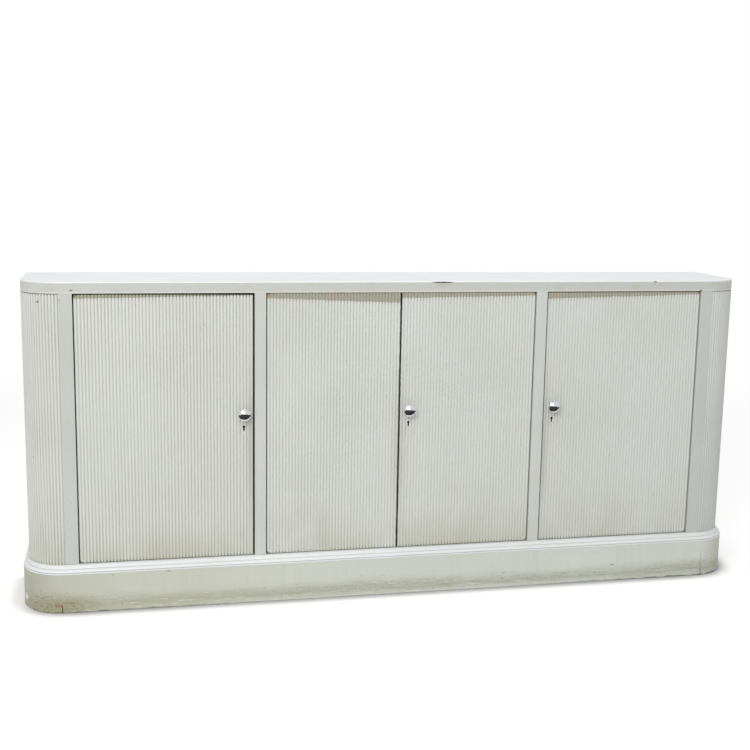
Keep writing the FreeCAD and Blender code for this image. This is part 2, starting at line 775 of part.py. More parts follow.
def lock(leaf, keyhole_cut):
    """A lock let into the leaf's back: an open case with a stud, a cap with screws, and a sliding bolt."""
    name = f"{leaf.name}_lock"
    lock_height = size.lock_above + size.lock_below
    lock_z = size.key_level - size.lock_below
    wall = size.lock_wall
    slack = size.bolt_clearance
    seat = block(f"{name}_seat", (from_free(leaf, 0, size.lock_width), lock_front_y, lock_z),
                 (size.lock_width, size.lock_depth, lock_height))
    hollow = block(f"{name}_hollow",
                   (from_free(leaf, wall, size.lock_width - 2 * wall), lock_front_y + wall, lock_z + wall),
                   (size.lock_width - 2 * wall, size.lock_depth - wall, lock_height - 2 * wall))
    mouth = block(f"{name}_mouth",
                  (from_free(leaf, 0, 2 * wall), bolt_y - slack, bolt_z - size.bolt_height / 2 - slack),
                  (2 * wall, size.bolt_thick + 2 * slack, size.bolt_height + 2 * slack))
    stud = rod(f"{name}_stud", (from_free(leaf, size.stud_inset), lock_front_y, bolt_z),
               size.stud_radius, size.lock_depth, TO_BACK)
    shell = cut(f"{name}_shell", seat, [hollow, mouth, keyhole_cut])
    case = fuse(f"{name}_case", [shell, stud])

    lip = size.cap_lip
    cap_width = size.lock_width + lip
    cap = block(f"{name}_cap_blank", (from_free(leaf, 0, cap_width), panel_back_y, lock_z - lip),
                (cap_width, size.cap_thick, lock_height + 2 * lip))
    screws = []
    holes = []
    for row, z in (("low", lock_z - lip / 2), ("high", lock_z + lock_height + lip / 2)):
        for column, inset in (("edge", lip), ("inner", size.lock_width)):
            head = (from_free(leaf, inset), panel_back_y + size.cap_thick, z)
            made, hole = screw_and_hole(f"{name}_screw_{row}_{column}", head, TO_FRONT)
            screws.append(made)
            holes.append(hole)
    keep(group(name, [case, cut(f"{name}_cap", cap, holes)] + screws))

    slot_height = 2 * (size.stud_radius + slack)
    slot_length = slot_height + size.bolt_travel
    blank = block(f"{name}_bolt_blank",
                  (from_free(leaf, 0, size.bolt_length), bolt_y, bolt_z - size.bolt_height / 2),
                  (size.bolt_length, size.bolt_thick, size.bolt_height))
    slot_x = from_free(leaf, size.stud_inset - slot_height / 2, slot_length)
    slot = block(f"{name}_bolt_slot", (slot_x, bolt_y, bolt_z - slot_height / 2),
                 (slot_length, size.bolt_thick, slot_height))
    keep(cut(f"{name}_bolt", blank, [slot]))
    return [seat] + holes


def knob(leaf):
    """A turned mushroom knob, held by a bolt through the leaf."""
    name = f"{leaf.name}_knob"
    x = from_free(leaf, size.lock_backset)
    bore = size.knob_bolt_radius + size.knob_bolt_clearance
    bore_depth = size.knob_bolt_reach + size.knob_bolt_clearance
    rim = size.knob_radius - size.knob_rim_round
    rim_top = size.knob_rim_level + size.knob_rim_height
    dome = crown_curve(rim, size.knob_projection - rim_top)
    body, sketch = new_body(f"{name}_head", "XZ_Plane")
    draw_outline(sketch, [
        (bore, 0),
        (size.knob_base_radius, 0),
        (size.knob_base_radius, size.knob_base_thick, -size.knob_neck_curve),
        (rim, size.knob_rim_level, size.knob_rim_curve),
        (rim, rim_top, dome),
        (0, size.knob_projection),
        (0, bore_depth),
        (bore, bore_depth),
    ])
    turned = body.newObject("PartDesign::Revolution", f"{name}_turned")
    turned.Profile = sketch
    turned.ReferenceAxis = (sketch, ["V_Axis"])
    turned.Angle = 360
    put(body, (x, crown_y, size.knob_level), TO_FRONT)
    grip = size.slat_thick + size.panel_thick
    head = rod(f"{name}_bolt_head", (x, panel_back_y, size.knob_level),
               size.knob_bolt_head_radius, size.knob_bolt_head_height, TO_BACK)
    shank = rod(f"{name}_bolt_shank", (x, panel_back_y, size.knob_level),
                size.knob_bolt_radius, grip + size.knob_bolt_reach, TO_FRONT)
    keep(group(name, [body, fuse(f"{name}_bolt", [head, shank])]))
    return rod(f"{name}_hole", (x, panel_back_y, size.knob_level), bore, grip, TO_FRONT)


# Bolts of the passive leaf

def leaf_bolt(leaf, at_top):
    """A sliding rod with a thumb knob, its guide on the leaf's back, and its keep on the board."""
    place = "top" if at_top else "bottom"
    name = f"leaf_bolt_{place}"
    x = from_free(leaf, size.rod_inset)
    rod_end_z = leaf_top_z - size.rod_recess if at_top else leaf_z + size.rod_recess
    rod_length = size.guide_drop + size.guide_plate_length - size.rod_recess + size.rod_travel + size.rod_tail
    thumb_drop = (size.guide_drop + size.guide_height - size.rod_recess + size.rod_travel
                  + size.rod_knob_radius + size.rod_knob_slack)
    upward = 1 if at_top else -1
    rotation = DOWNWARD if at_top else UPRIGHT
    bar = rod(f"{name}_bar", (x, rod_y, rod_end_z), size.rod_radius, rod_length, rotation)
    thumb = rod(f"{name}_thumb", (x, rod_y, rod_end_z - upward * thumb_drop),
                size.rod_knob_radius, size.rod_knob_reach, TO_BACK)
    keep(fuse(name, [bar, thumb]))

    def from_end(distance, height):
        if at_top:
            return leaf_top_z - distance - height
        return leaf_z + distance

    plate_z = from_end(size.guide_drop, size.guide_plate_length)
    plate = block(f"{name}_guide_plate", (x - size.guide_width / 2, panel_back_y, plate_z),
                  (size.guide_width, size.guide_plate_thick, size.guide_plate_length))
    parts = [plate]
    for number, distance in enumerate((size.guide_drop,
                                       size.guide_drop + size.guide_plate_length - size.guide_height)):
        corner = (x - size.guide_side / 2, panel_back_y, from_end(distance, size.guide_height))
        extent = (size.guide_side, size.rod_standoff + size.guide_side / 2, size.guide_height)
        parts.append(block(f"{name}_guide_{number}", corner, extent))
    bore = rod(f"{name}_guide_bore", (x, rod_y, rod_end_z), size.rod_radius + size.rod_clearance,
               rod_length, rotation)
    guide = cut(f"{name}_guide", fuse(f"{name}_guide_blank", parts), [bore])

    board_z = top_z if at_top else floor_z
    hole_radius = size.rod_radius + size.keep_clearance
    hole_depth = (size.keep_thick + size.keep_slack + size.rod_travel - size.rod_recess
                  - (size.head_gap if at_top else size.foot_gap))
    keep_z = board_z - size.keep_thick if at_top else board_z
    hole_start = (x, rod_y, board_z - upward * size.keep_thick)
    hole = rod(f"{name}_keep_hole", hole_start, hole_radius, hole_depth, UPRIGHT if at_top else DOWNWARD)
    keep_blank = block(f"{name}_keep_blank",
                       (x - size.keep_length / 2, rod_y - size.keep_width / 2, keep_z),
                       (size.keep_length, size.keep_width, size.keep_thick))
    return guide, cut(f"{name}_keep", keep_blank, [hole]), hole


# Leaves

def leaf_parts(leaf, hinges):
    """Panel, slats, pivots and, where the leaf is locked, knob and lock."""
    slat_cuts = []
    panel_cuts = []
    for hinge in hinges:
        panel_cuts += [hinge.leaf_seat] + hinge.leaf_holes
    if leaf.locked:
        keyhole_cut = keyhole(leaf)
        knob_hole = knob(leaf)
        slat_cuts = [keyhole_cut, knob_hole]
        panel_cuts += lock(leaf, keyhole_cut) + slat_cuts
    else:
        edge_x = leaf.x + leaf.width
        plate, cuts = strike("leaf_strike", edge_x, LEFT)
        plate.Label = "leaf_strike_plate"
        keep(plate)
        panel_cuts += cuts
    blank = block(f"{leaf.name}_panel_blank", (leaf.x, panel_y, leaf_z),
                  (leaf.width, size.panel_thick, leaf_height))
    keep(cut(f"{leaf.name}_panel", blank, panel_cuts))
    row_name = f"{leaf.name}_slats"
    row = put(slat_row(f"{row_name}_row" if slat_cuts else row_name, leaf.reeds, leaf_height),
              (leaf.x, panel_y, leaf_z))
    keep(cut(row_name, row, slat_cuts) if slat_cuts else row)
    parts = [hinge.leaf_plate for hinge in hinges]
    for hinge in hinges:
        parts += hinge.leaf_screws
    keep(group(f"{leaf.name}_pivots", parts))


def build():
    """Make every sub-part."""
    top_cuts = []
    bottom_cuts = []
    plates = []
    washers = []
    for leaf in LEAVES:
        upper = pivot_hinge(leaf, True)
        lower = pivot_hinge(leaf, False)
        top_cuts += [upper.board_seat] + upper.board_holes
        bottom_cuts += [lower.board_seat] + lower.board_holes
        for hinge in (upper, lower):
            plates += [hinge.board_plate] + hinge.board_screws
        washers.append(pivot_washer(lower, leaf))
        leaf_parts(leaf, (upper, lower))
    keep(group("pivot_plates", plates))
    keep(group("pivot_washers", washers))
    upper_guide, upper_keep, upper_hole = leaf_bolt(PASSIVE_LEAF, True)
    lower_guide, lower_keep, lower_hole = leaf_bolt(PASSIVE_LEAF, False)
    keep(group("leaf_bolt_guides", [upper_guide, lower_guide]))
    keep(group("leaf_bolt_keeps", [upper_keep, lower_keep]))
    case_boards(top_cuts + [upper_hole], bottom_cuts + [lower_hole])
    back_and_dividers()
    stiles()
    plinth()
    mouldings()
    shelves()
    door_stops()


def check_and_write():
    """Stop on any failed object or shape, then write one file for each sub-part."""
    doc.recompute()
    for made in doc.Objects:
        if "Invalid" in made.State or "Error" in made.State:
            raise RuntimeError(f"{made.Label} is {made.State}")
    for made in pieces:
        if made.Shape.isNull() or not made.Shape.isValid() or not made.Shape.Solids:
            raise RuntimeError(f"{made.Label} has no valid solid")
    os.makedirs("parts", exist_ok=True)
    for made in pieces:
        made.Shape.exportStep(f"parts/{made.Label}.step")
        print(f"{made.Label}: {len(made.Shape.Solids)} solids, {made.Shape.Volume / 1000:.1f} cm3")
    print(f"{len(pieces)} sub-parts, case {2 * case_half.value:.1f} wide")


build()
check_and_write()
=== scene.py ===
import math
import random
from functools import cached_property

import bmesh
import bpy
import numpy as np
from mathutils import Matrix, Vector


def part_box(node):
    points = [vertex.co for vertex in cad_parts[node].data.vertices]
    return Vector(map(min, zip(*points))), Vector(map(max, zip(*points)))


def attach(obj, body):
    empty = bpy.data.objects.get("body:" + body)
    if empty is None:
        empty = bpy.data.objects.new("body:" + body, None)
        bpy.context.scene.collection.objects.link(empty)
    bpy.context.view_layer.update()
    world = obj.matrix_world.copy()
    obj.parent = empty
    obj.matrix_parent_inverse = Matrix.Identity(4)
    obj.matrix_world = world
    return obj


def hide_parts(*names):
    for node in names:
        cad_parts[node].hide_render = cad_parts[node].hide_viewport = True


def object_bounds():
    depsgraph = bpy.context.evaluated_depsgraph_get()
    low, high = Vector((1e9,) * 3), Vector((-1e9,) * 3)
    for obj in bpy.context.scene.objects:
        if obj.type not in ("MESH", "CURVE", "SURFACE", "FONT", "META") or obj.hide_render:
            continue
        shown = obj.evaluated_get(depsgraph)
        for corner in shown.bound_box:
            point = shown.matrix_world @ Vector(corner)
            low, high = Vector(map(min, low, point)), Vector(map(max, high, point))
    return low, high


# A long painted cabinet with four reeded doors on a moulded plinth, in metres, in the CAD model's frame.

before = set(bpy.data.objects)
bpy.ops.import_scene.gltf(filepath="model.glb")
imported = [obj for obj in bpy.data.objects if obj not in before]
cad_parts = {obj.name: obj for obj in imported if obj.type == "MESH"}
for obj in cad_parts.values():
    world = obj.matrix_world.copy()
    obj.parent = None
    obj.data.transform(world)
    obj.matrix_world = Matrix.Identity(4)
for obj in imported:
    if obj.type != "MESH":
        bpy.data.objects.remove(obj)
cad_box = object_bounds()

DOORS = ("left_door", "centre_left_door", "centre_right_door", "right_door")
LOCKED_DOORS = ("left_door", "centre_right_door", "right_door")
FREE_EDGE_RIGHT = ("left_door", "centre_left_door")
LEFT = -1
RIGHT = 1
SIDES = {"left": LEFT, "right": RIGHT}
REED_ROWS = DOORS + tuple(SIDES)
X, Y, Z = 0, 1, 2

# Reeds
REED_PITCH = 0.0091
REED_FACES = 10
REED_RISE = 0.005
REED_EDGE_RISE = 0.0022
GROOVE_FILL = 0.0026
GROOVE_ROUND = 0.0006
REED_UNEVEN = 0.00006
REED_WAVE = 0.00004
REED_WAVE_RATE = 9
REED_ROW_LENGTH = 0.04
REED_OVERHANG = 0.0014
REED_LIFT = dict(zip(DOORS, (0.0, 0.0025, 0.0025, 0.0008)))
CORNER_REEDS = 18
# The rounding of a reed's ends, with shares of it along the reed and of what is lost there
REED_END_ROUND = 0.0007
REED_END_CURVE = ((0.0, 1.0), (0.3, 0.35), (1.0, 0.0))

# Knobs
KNOB_BASE_RADIUS = 0.010
KNOB_BASE_THICK = 0.003
KNOB_WAIST = 0.0029
KNOB_RIM_HEIGHT = 0.0045
KNOB_RIM_ROUND = 0.0014
KNOB_CROWN = 0.0064
KNOB_BOLT_RADIUS = 0.0045
KNOB_BOLT_EDGE = 0.0006
CURVE_STEPS = 10
TURN_STEPS = 72

# Keyholes
KEY_DROP = 0.0115
KEY_RADIUS = 0.0032
KEY_SLOT = 0.0036
KEY_BACKSET = 0.026
KEY_LEVEL = 0.511
KEY_FLOOR = 0.0006
KEY_STEPS = 20

# Softened edges
WELD = 0.000001
SEAM_REACH = 0.00001
HULL_REACH = 0.00002
PLANE_ANGLE = math.radians(0.2)
SHARP_ANGLE = math.radians(35)
LONG_EDGE = 0.06
ARRIS_STEPS = 3
TOP_ARRIS = 0.0028
BOARD_ARRIS = 0.0016
TRIM_ARRIS = 0.0005
LEAF_ARRIS = 0.0004

# The order of a door board's materials
PAINTED, BARE, GAP_SHADE_EDGE, KEYHOLE = range(4)
# The least part of a face's normal along the way that it faces, and of its normal's X times its own
FACING = 0.5
FACING_BACK = 0.3
FACING_SIDEWAYS = 0.1
LARGE_FACE = 0.001

# Nicks in the top's front edge, by their X, with their half sizes, and the smears below
NICKS = {
    0.111: (0.0340, 0.0030, 0.0019),
    0.764: (0.0070, 0.0025, 0.0015),
}
NICK_DROP = 0.0030
NICK_RAGGED = (-0.22, 0.1)
NICK_DETAIL = 3
SMEAR_DROP = 0.010
SMEAR_TALLER = 6
# Cracks in the plinth: their distance outside the corner's seam, height, lean and width
CRACKS = {
    "left": (0.0092, 0.030, 0.0005, 0.0034),
    "right": (0.0076, 0.088, 0.0045, 0.0018),
}
CRACK_START = -0.01
CRACK_DEPTH = 0.007
CRACK_FOOT = -0.003
# The kink in a crack, by shares of its lean and height, and of its width to the left and right
KINK_LEAN = 0.3
KINK_HEIGHT = 0.45
KINK_LEFT = 0.35
KINK_RIGHT = 0.2

# Half sizes along Y of marks on the flat front and on the reeds
MARK_DEPTH = 0.01
REED_DEPTH = 0.02
# Dark marks on the plinth's front, by their X, with their height and half sizes
PLINTH_MARKS = {
    -0.826: (0.1040, 0.0035, 0.0018),
    -0.673: (0.1065, 0.0080, 0.0018),
    0.318: (0.0440, 0.0070, 0.0016),
    0.667: (0.0500, 0.0080, 0.0022),
}
# Dark marks on the top's front, by their X, with their drop and half sizes
TOP_MARKS = {
    -0.919: (0.0225, 0.0050, 0.0022),
    0.9145: (0.0300, 0.0060, 0.0030),
}
# A dark mark near the top of the left corner
CORNER_MARK = (-1.007, -0.130, 0.866)
CORNER_MARK_SIZES = (0.005, REED_DEPTH, 0.004)
# Lines of painted shade in the moulding's quirks: their height in it, half width and strength
MOULDING_SHADE_LINES = (
    (0.0044, 0.0011, 0.55),
    (0.0132, 0.0010, 0.30),
    (0.0245, 0.0008, 0.30),
)
# Spots at the plinth's left corner: their places from the front board's end, and half sizes
ROUGH_PLACE = (-0.02, 0.02, 0.018)
ROUGH_SIZES = (0.15, 0.15, 0.05)
BARE_PLACE = (-0.014, 0.0, 0.019)
BARE_SIZES = (0.055, 0.05, 0.022)
CHIP_PLACE = (-0.1105, 0.075, 0.03)
CHIP_SIZES = (0.013, 0.013, 0.013)
# Smudges at a door's pivots, and a fleck inward and up from the lower one
PIVOT_SMUDGE = (0.012, REED_DEPTH, 0.010)
PIVOT_FLECK_INWARD = 0.009
PIVOT_FLECK_UP = 0.006
PIVOT_FLECK = (0.004, REED_DEPTH, 0.004)
# Dirt round a keyhole, and painted shade at its eye and slit
KEY_DIRT = (0.035, REED_DEPTH, 0.06)
KEY_EYE = (KEY_RADIUS * 1.25, REED_DEPTH, KEY_RADIUS * 1.25)
KEY_SLIT = (KEY_SLOT * 0.7, REED_DEPTH, KEY_DROP * 0.6)
KEY_SLIT_DROP = KEY_DROP * 0.55
# Hand dirt: its drop below the keyholes, heights from there and width
HAND_DROP = 0.06
HAND_HEIGHTS = (0.3, 0.05)
HAND_WIDTH = 0.03

# Depths of the band of dirt and painted shadow under the top, at each door's hinge and free edge
TOP_DIRT_AND_SHADOW_BANDS = dict(zip(DOORS, ((0.0085, 0.001), (0.012, 0.027), (0.0085, 0.0135), (0.005, 0.016))))
# Depths of the painted shadow of the gap on that band, and of the grey teeth of painted shadow in the
# grooves alone
TOP_GAP_SHADOW = {"left_door": (-0.001, 0.0028)}
TOP_SHADOW_TEETH = {"left_door": (-0.0035, -0.002)}
# How much further all three hang in the grooves
BAND_TOOTH = 0.009
GAP_SHADOW_TOOTH = 0.001
SHADOW_TOOTH = 0.010
# How far the dirt and painted shade of the gap between the doors that meet reach from their free edges
MEETING_SHADE_AND_DIRT = {"centre_left_door": 0.0026, "centre_right_door": 0.0012}
# How strong the painted highlight on the crests and the painted shade and dirt in the grooves are, and how
# yellow the foot is, for each row of reeds
GROOVE_SHADING_AND_DIRT = dict(zip(REED_ROWS, (0.55, 0.38, 0.27, 0.22, 0.5, 0.05)))
FOOT_YELLOW = dict(zip(REED_ROWS, (0.40, 0.36, 0.36, 0.26, 0.36, 0.06)))

# Where paint, dirt, painted light and painted shade start to show and show fully, from the edge that each of
# them follows
TOP_HIGHLIGHT_REACH = (0.006, 0.002)
FASCIA_TOP = (-0.0014, -0.0044)
FASCIA_FOOT = (0.007, 0.001)
PLINTH_LEFT_SHADE_AND_DIRT = (0.25, -0.1)
PLINTH_END_SHADE_AND_DIRT = (0.0, 0.1)
PLINTH_CORNERS = (-0.06, 0.06)
REED_FOOT = (0.15, -0.03)
REED_FOOT_SHADE = (0.008, 0.002)
REED_HEAD_SHADE = (-0.007, -0.002)
RIGHT_END_LIGHT_FADE = (0.15, 0.55)
BAND_EDGE = (0.0003, -0.0012)
MEETING_EDGE = (0.0004, -0.0004)
# The same above the floor
TIDE = (0.056, 0.024)
WIPED = (-0.002, 0.020)
FLECKS = (0.055, 0.03)
KNOCKS = (0.07, 0.02)
PITS = (0.1, 0.02)
SOLE = (0.005, 0.0005)
# The same from the cabinet's middle, but with the sole's end past the front board's
UNWIPED = (0.25, 0.6)
SOLE_START = 0.3
SOLE_END = 0.05
# How uneven these edges are
TIDE_RAGGED = 0.04
SOLE_RAGGED = 0.016
REED_FOOT_RAGGED = 0.2

# Depths of the fine relief of surfaces
BRUSH_DEPTH = 0.00025
PLINTH_BRUSH_DEPTH = 0.0004
PORE_DEPTH = 0.00015
SCRATCH_DEPTH = 0.00002

# The camera, as the photograph was taken
CAMERA_PLACE = (-0.7812, -3.3240, 1.2079)
CAMERA_YAW = math.radians(12.38)
CAMERA_PITCH = math.radians(-9.695)
CAMERA_ROLL = math.radians(0.988)
CAMERA_LENS = 55.41
CAMERA_SENSOR = 36.0

# Light: the lamps' places, the points they shine on, their widths, heights and powers, and the surround
LAMPS = {
    "key": ((-1.8, -4.0, 3.4), (0.0, 0.0, 0.5), 3.2, 2.4, 127),
    "overhead": ((0.2, 0.3, 4.0), (0.2, 0.0, 0.9), 3.5, 2.0, 30),
}
SURROUND_LIGHT = 0.5

# The floor, with the reach of the contact shade painted on it under the cabinet, and where it fades to white
FLOOR_HALF_SIZE = 20.0
FLOOR_GLOW = 0.42
FLOOR_FADE = (2.0, 4.5)
# Where the painted contact shade is lifted on the left
FLOOR_LEFT = (0.08, -0.02)
CONTACT_REACH = 0.075
CONTACT_OPEN = (0.40, 0.92)
CONTACT_SAMPLES = 12

# A dark floor and low wall in front, for the bright metal to mirror
ROOM_HALF_WIDTH = 6.0
ROOM_NEAR = -0.37
ROOM_FAR = -5.0
ROOM_FLOOR = 0.004
ROOM_WALL = 1.15


def rgb(red, green, blue):
    """A colour given from 0 to 255, as the linear colour that shaders take."""
    shares = [value / 255 for value in (red, green, blue)]
    return tuple(s / 12.92 if s <= 0.04045 else ((s + 0.055) / 1.055) ** 2.4 for s in shares) + (1.0,)


# Colours, with a shade, stain or pores where a material has them
CASE_PAINT = (rgb(212, 214, 209), rgb(203, 205, 199))
OUTER_PAINT = (rgb(205, 207, 202), rgb(196, 198, 192))
# The top's paint is whiter than the rest, a painted light on its upward face
TOP_PAINT = (rgb(231, 232, 234), rgb(224, 225, 226))
# A painted highlight for the top's rounded front edge
TOP_EDGE_HIGHLIGHT = rgb(241, 243, 241)
FASCIA_PAINT = (rgb(202, 204, 198), rgb(203, 205, 199))
# A painted highlight for the fascia's lower lip
FASCIA_LIP_HIGHLIGHT = rgb(224, 225, 218)
# The moulding's paint is whiter than the plinth's, a painted light on its upward faces
MOULDING_PAINT = (rgb(237, 239, 239), rgb(229, 231, 231))
PLINTH_PAINT = (rgb(220, 223, 217), rgb(211, 214, 206))
# Yellowed age for the plinth's streaks, and painted shade towards its left
PLINTH_AGE_AND_SHADE = rgb(192, 193, 172)
# The reeds' paint is lighter than the case's, a painted light that makes up for the shade in their grooves
REED_PAINT = (rgb(216, 218, 213), rgb(207, 209, 203))
# A painted highlight for the reeds' crests
REED_CREST_HIGHLIGHT = rgb(227, 229, 223)
END_PAINT = {
    "left": (rgb(212, 214, 208), rgb(202, 204, 197)),
    "right": (rgb(205, 209, 205), rgb(196, 200, 195)),
}
# Painted light for the upper part and the grooves of the right end
RIGHT_END_PAINTED_LIGHT = rgb(226, 226, 220)
GRIME = rgb(150, 148, 118)
OLIVE = rgb(168, 171, 141)
OLIVE_GREY = rgb(159, 163, 141)
OCHRE = rgb(162, 148, 108)
YELLOWED = rgb(172, 169, 126)
BAND_OLIVE = rgb(163, 161, 143)
BAND_BROWN = rgb(168, 159, 143)
SMOKE = rgb(112, 112, 104)
SOOT = rgb(66, 62, 54)
SOOT_DEEP = rgb(30, 28, 25)
HOLE = (rgb(24, 22, 20), rgb(8, 8, 7))
FLECK = rgb(236, 236, 230)
BARE_BROWN = rgb(140, 108, 76)
NICK_BARE = (rgb(112, 101, 88), rgb(36, 31, 27))
NICK_SMEAR = rgb(186, 168, 154)
BARE_WOOD = (rgb(178, 140, 99), rgb(141, 103, 67), rgb(96, 66, 41))
# Dark wood for the faces in the door gaps, a painted shade
GAP_SHADE_WOOD = (rgb(86, 74, 59), rgb(58, 50, 40), rgb(36, 31, 26))
BRASS = (rgb(186, 154, 92), rgb(112, 86, 48))
STEEL = (rgb(150, 150, 148), rgb(98, 84, 70))
CHROME = (rgb(208, 209, 214), rgb(150, 149, 152))
WHITE = (1.0, 1.0, 1.0, 1.0)
FLOOR_WHITE = (0.8, 0.8, 0.8, 1.0)
CONTACT_SHADE = (0.30, 0.30, 0.30, 1.0)
ROOM_BLACK = (0.010, 0.010, 0.012, 1.0)
ROOM_GREY = (0.035, 0.034, 0.036, 1.0)


# Doors

def hinge_side(door):
    """The side of a door on which its pivots are."""
    return LEFT if door in FREE_EDGE_RIGHT else RIGHT


def door_edges(door):
    """The X of a door's free edge and of its hinge edge."""
    low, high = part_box(f"{door}_panel")
    return (high.x, low.x) if door in FREE_EDGE_RIGHT else (low.x, high.x)


def key_x(door):
    """The X of a locked door's keyhole."""
    return door_edges(door)[0] + hinge_side(door) * KEY_BACKSET


# Materials

class Tree:
    """The nodes of a material or world, written as formulas on sockets."""

    def __init__(self, owner):
        self.owner = owner
        owner.use_nodes = True
        self.nodes = owner.node_tree.nodes
        self.links = owner.node_tree.links
        self.nodes.clear()

    @cached_property
    def place(self):
        """The place of a point in metres, in the object's frame."""
        return self.node("ShaderNodeTexCoord").outputs["Object"]

    @cached_property
    def axes(self):
        """The X, Y and Z of that place."""
        return self.node("ShaderNodeSeparateXYZ", Vector=self.place).outputs

    def feed(self, socket, value):
        """Link a socket to another, or set it to a value."""
        if isinstance(value, bpy.types.NodeSocket):
            self.links.new(value, socket)
        else:
            socket.default_value = value

    def node(self, kind, settings=None, **inputs):
        """A node with its settings and named inputs, where _ stands for a space."""
        made = self.nodes.new(kind)
        for name, value in (settings or {}).items():
            setattr(made, name, value)
        for name, value in inputs.items():
            self.feed(made.inputs[name.replace("_", " ")], value)
        return made

    def step(self, kind, operation, values):
        """The outputs of a node that does one step of arithmetic."""
        made = self.node(kind, {"operation": operation})
        for socket, value in zip(made.inputs, values):
            self.feed(socket, value)
        return made.outputs

    def math(self, operation, *values):
        """One step of arithmetic with numbers."""
        return self.step("ShaderNodeMath", operation, values)["Value"]

    def vector_math(self, operation, *values):
        """One step of arithmetic with places."""
        return self.step("ShaderNodeVectorMath", operation, values)["Vector"]

    def length(self, vector):
        """How far a place lies from the origin."""
        return self.step("ShaderNodeVectorMath", "LENGTH", [vector])["Value"]

    def times(self, *values):
        """The product of several values."""
        product = values[0]
        for value in values[1:]:
            product = self.math("MULTIPLY", product, value)
        return product

    def away(self, axis, place):
        """How far a point lies from a place along one axis."""
        return self.math("ABSOLUTE", self.math("SUBTRACT", self.axes[axis], place))

    def ragged(self, value, noise, amount):
        """A value made uneven by noise, by up to half an amount either way."""
        return self.math("ADD", value, self.math("MULTIPLY_ADD", noise, amount, -amount / 2))

    def fade(self, value, start, end):
        """0 at start, 1 at end, and smooth between."""
        made = self.node("ShaderNodeMapRange", {"interpolation_type": "SMOOTHSTEP"},
                         Value=value, From_Min=start, From_Max=end)
        return made.outputs["Result"]

    def reach(self, value, edge, ends):
        """A fade between two ends that are given from an edge."""
        start, end = ends
        return self.fade(value, edge + start, edge + end)

    def noise(self, scale, stretch=(1, 1, 1), detail=3.0, distortion=0.0):
        """Noise about 0.5, with so many lumps in a metre."""
        made = self.node("ShaderNodeTexNoise", Vector=self.vector_math("MULTIPLY", self.place, stretch),
                         Scale=scale, Detail=detail, Distortion=distortion)
        return made.outputs["Fac"]

    def blots(self, start, end, *lumps):
        """Patches where noise, given as above, rises from start to end."""
        return self.fade(self.noise(*lumps), start, end)

    def specks(self, scale, reach, share):
        """Small round spots: a share of the cells, each as wide as reach in cells."""
        cells = self.node("ShaderNodeTexVoronoi", Vector=self.place, Scale=scale)
        red = self.node("ShaderNodeSeparateColor", Color=cells.outputs["Color"]).outputs[0]
        chosen = self.math("GREATER_THAN", red, 1 - share)
        return self.times(self.fade(cells.outputs["Distance"], reach, reach * 0.6), chosen)

    def spot(self, point, sizes, edge=0.0):
        """1 inside a spot, from its share edge of the half sizes on, and 0 outside its half sizes."""
        away = self.vector_math("SUBTRACT", self.place, point)
        return self.fade(self.length(self.vector_math("DIVIDE", away, sizes)), 1.0, edge)

    def mix(self, factor, first, second):
        """A colour between two colours."""
        made = self.node("ShaderNodeMix", {"data_type": "RGBA"}, Factor=factor)
        colours = [socket for socket in made.inputs if socket.type == "RGBA"]
        self.feed(colours[0], first)
        self.feed(colours[1], second)
        return next(socket for socket in made.outputs if socket.type == "RGBA")

    def laid(self, colour, tint, *masks):
        """A colour with a tint laid over it, as strongly as the product of the masks says."""
        return self.mix(self.times(*masks), colour, tint)

    def bump(self, height, depth):
        """A normal from a height between 0 and 1 and its depth in metres."""
        return self.node("ShaderNodeBump", Height=height, Distance=depth).outputs["Normal"]

    def diffuse(self, colour):
        """A dull shader."""
        return self.node("ShaderNodeBsdfDiffuse", Color=colour).outputs["BSDF"]

    def glow(self, strength):
        """A shader that shines white."""
        return self.node("ShaderNodeEmission", Color=WHITE, Strength=strength).outputs["Emission"]

    def mix_shaders(self, factor, first, second):
        """A shader between two shaders."""
        made = self.node("ShaderNodeMixShader", Fac=factor)
        self.feed(made.inputs[1], first)
        self.feed(made.inputs[2], second)
        return made.outputs["Shader"]

    def shade(self, **inputs):
        """Finish a material with a principled shader."""
        shader = self.node("ShaderNodeBsdfPrincipled", **inputs)
        self.node("ShaderNodeOutputMaterial", Surface=shader.outputs["BSDF"])
        return self.owner


def new_material(name):
    """The empty nodes of a new material."""
    return Tree(bpy.data.materials.new(name))


def grain_scale(across, lengthwise, along):
    """Lumps in a metre on each axis, for a grain that runs along one of them."""
    return [lengthwise if axis == along else across for axis in (X, Y, Z)]


class Paint(Tree):
    """Old brushed paint: cloudy patches, streaks along one axis and specks, with dirt laid over them."""

    def __init__(self, name, colours, along):
        super().__init__(bpy.data.materials.new(name))
        self.colour, shade = colours
        self.brush = self.noise(1.0, grain_scale(70.0, 1.5, along))
        self.cover(shade, self.blots(0.35, 0.7, 3.5, (1, 1, 1), 5), 0.7)
        self.cover(shade, self.fade(self.brush, 0.45, 0.75), 0.35)
        self.cover(SMOKE, self.specks(60, 0.12, 0.03), 0.7)

    def cover(self, tint, *masks):
        """Lay a tint over the colour so far."""
        self.colour = self.laid(self.colour, tint, *masks)

    def satin(self, roughness=0.5, depth=BRUSH_DEPTH):
        """Finish the paint, with brush marks."""
        fine = self.noise(240, detail=2)
        height = self.math("ADD", self.times(self.brush, 0.8), self.times(fine, 0.2))
        rough = self.math("MULTIPLY_ADD", self.noise(14, detail=4), 0.2, roughness - 0.1)
        return self.shade(Base_Color=self.colour, Roughness=rough, Normal=self.bump(height, depth))


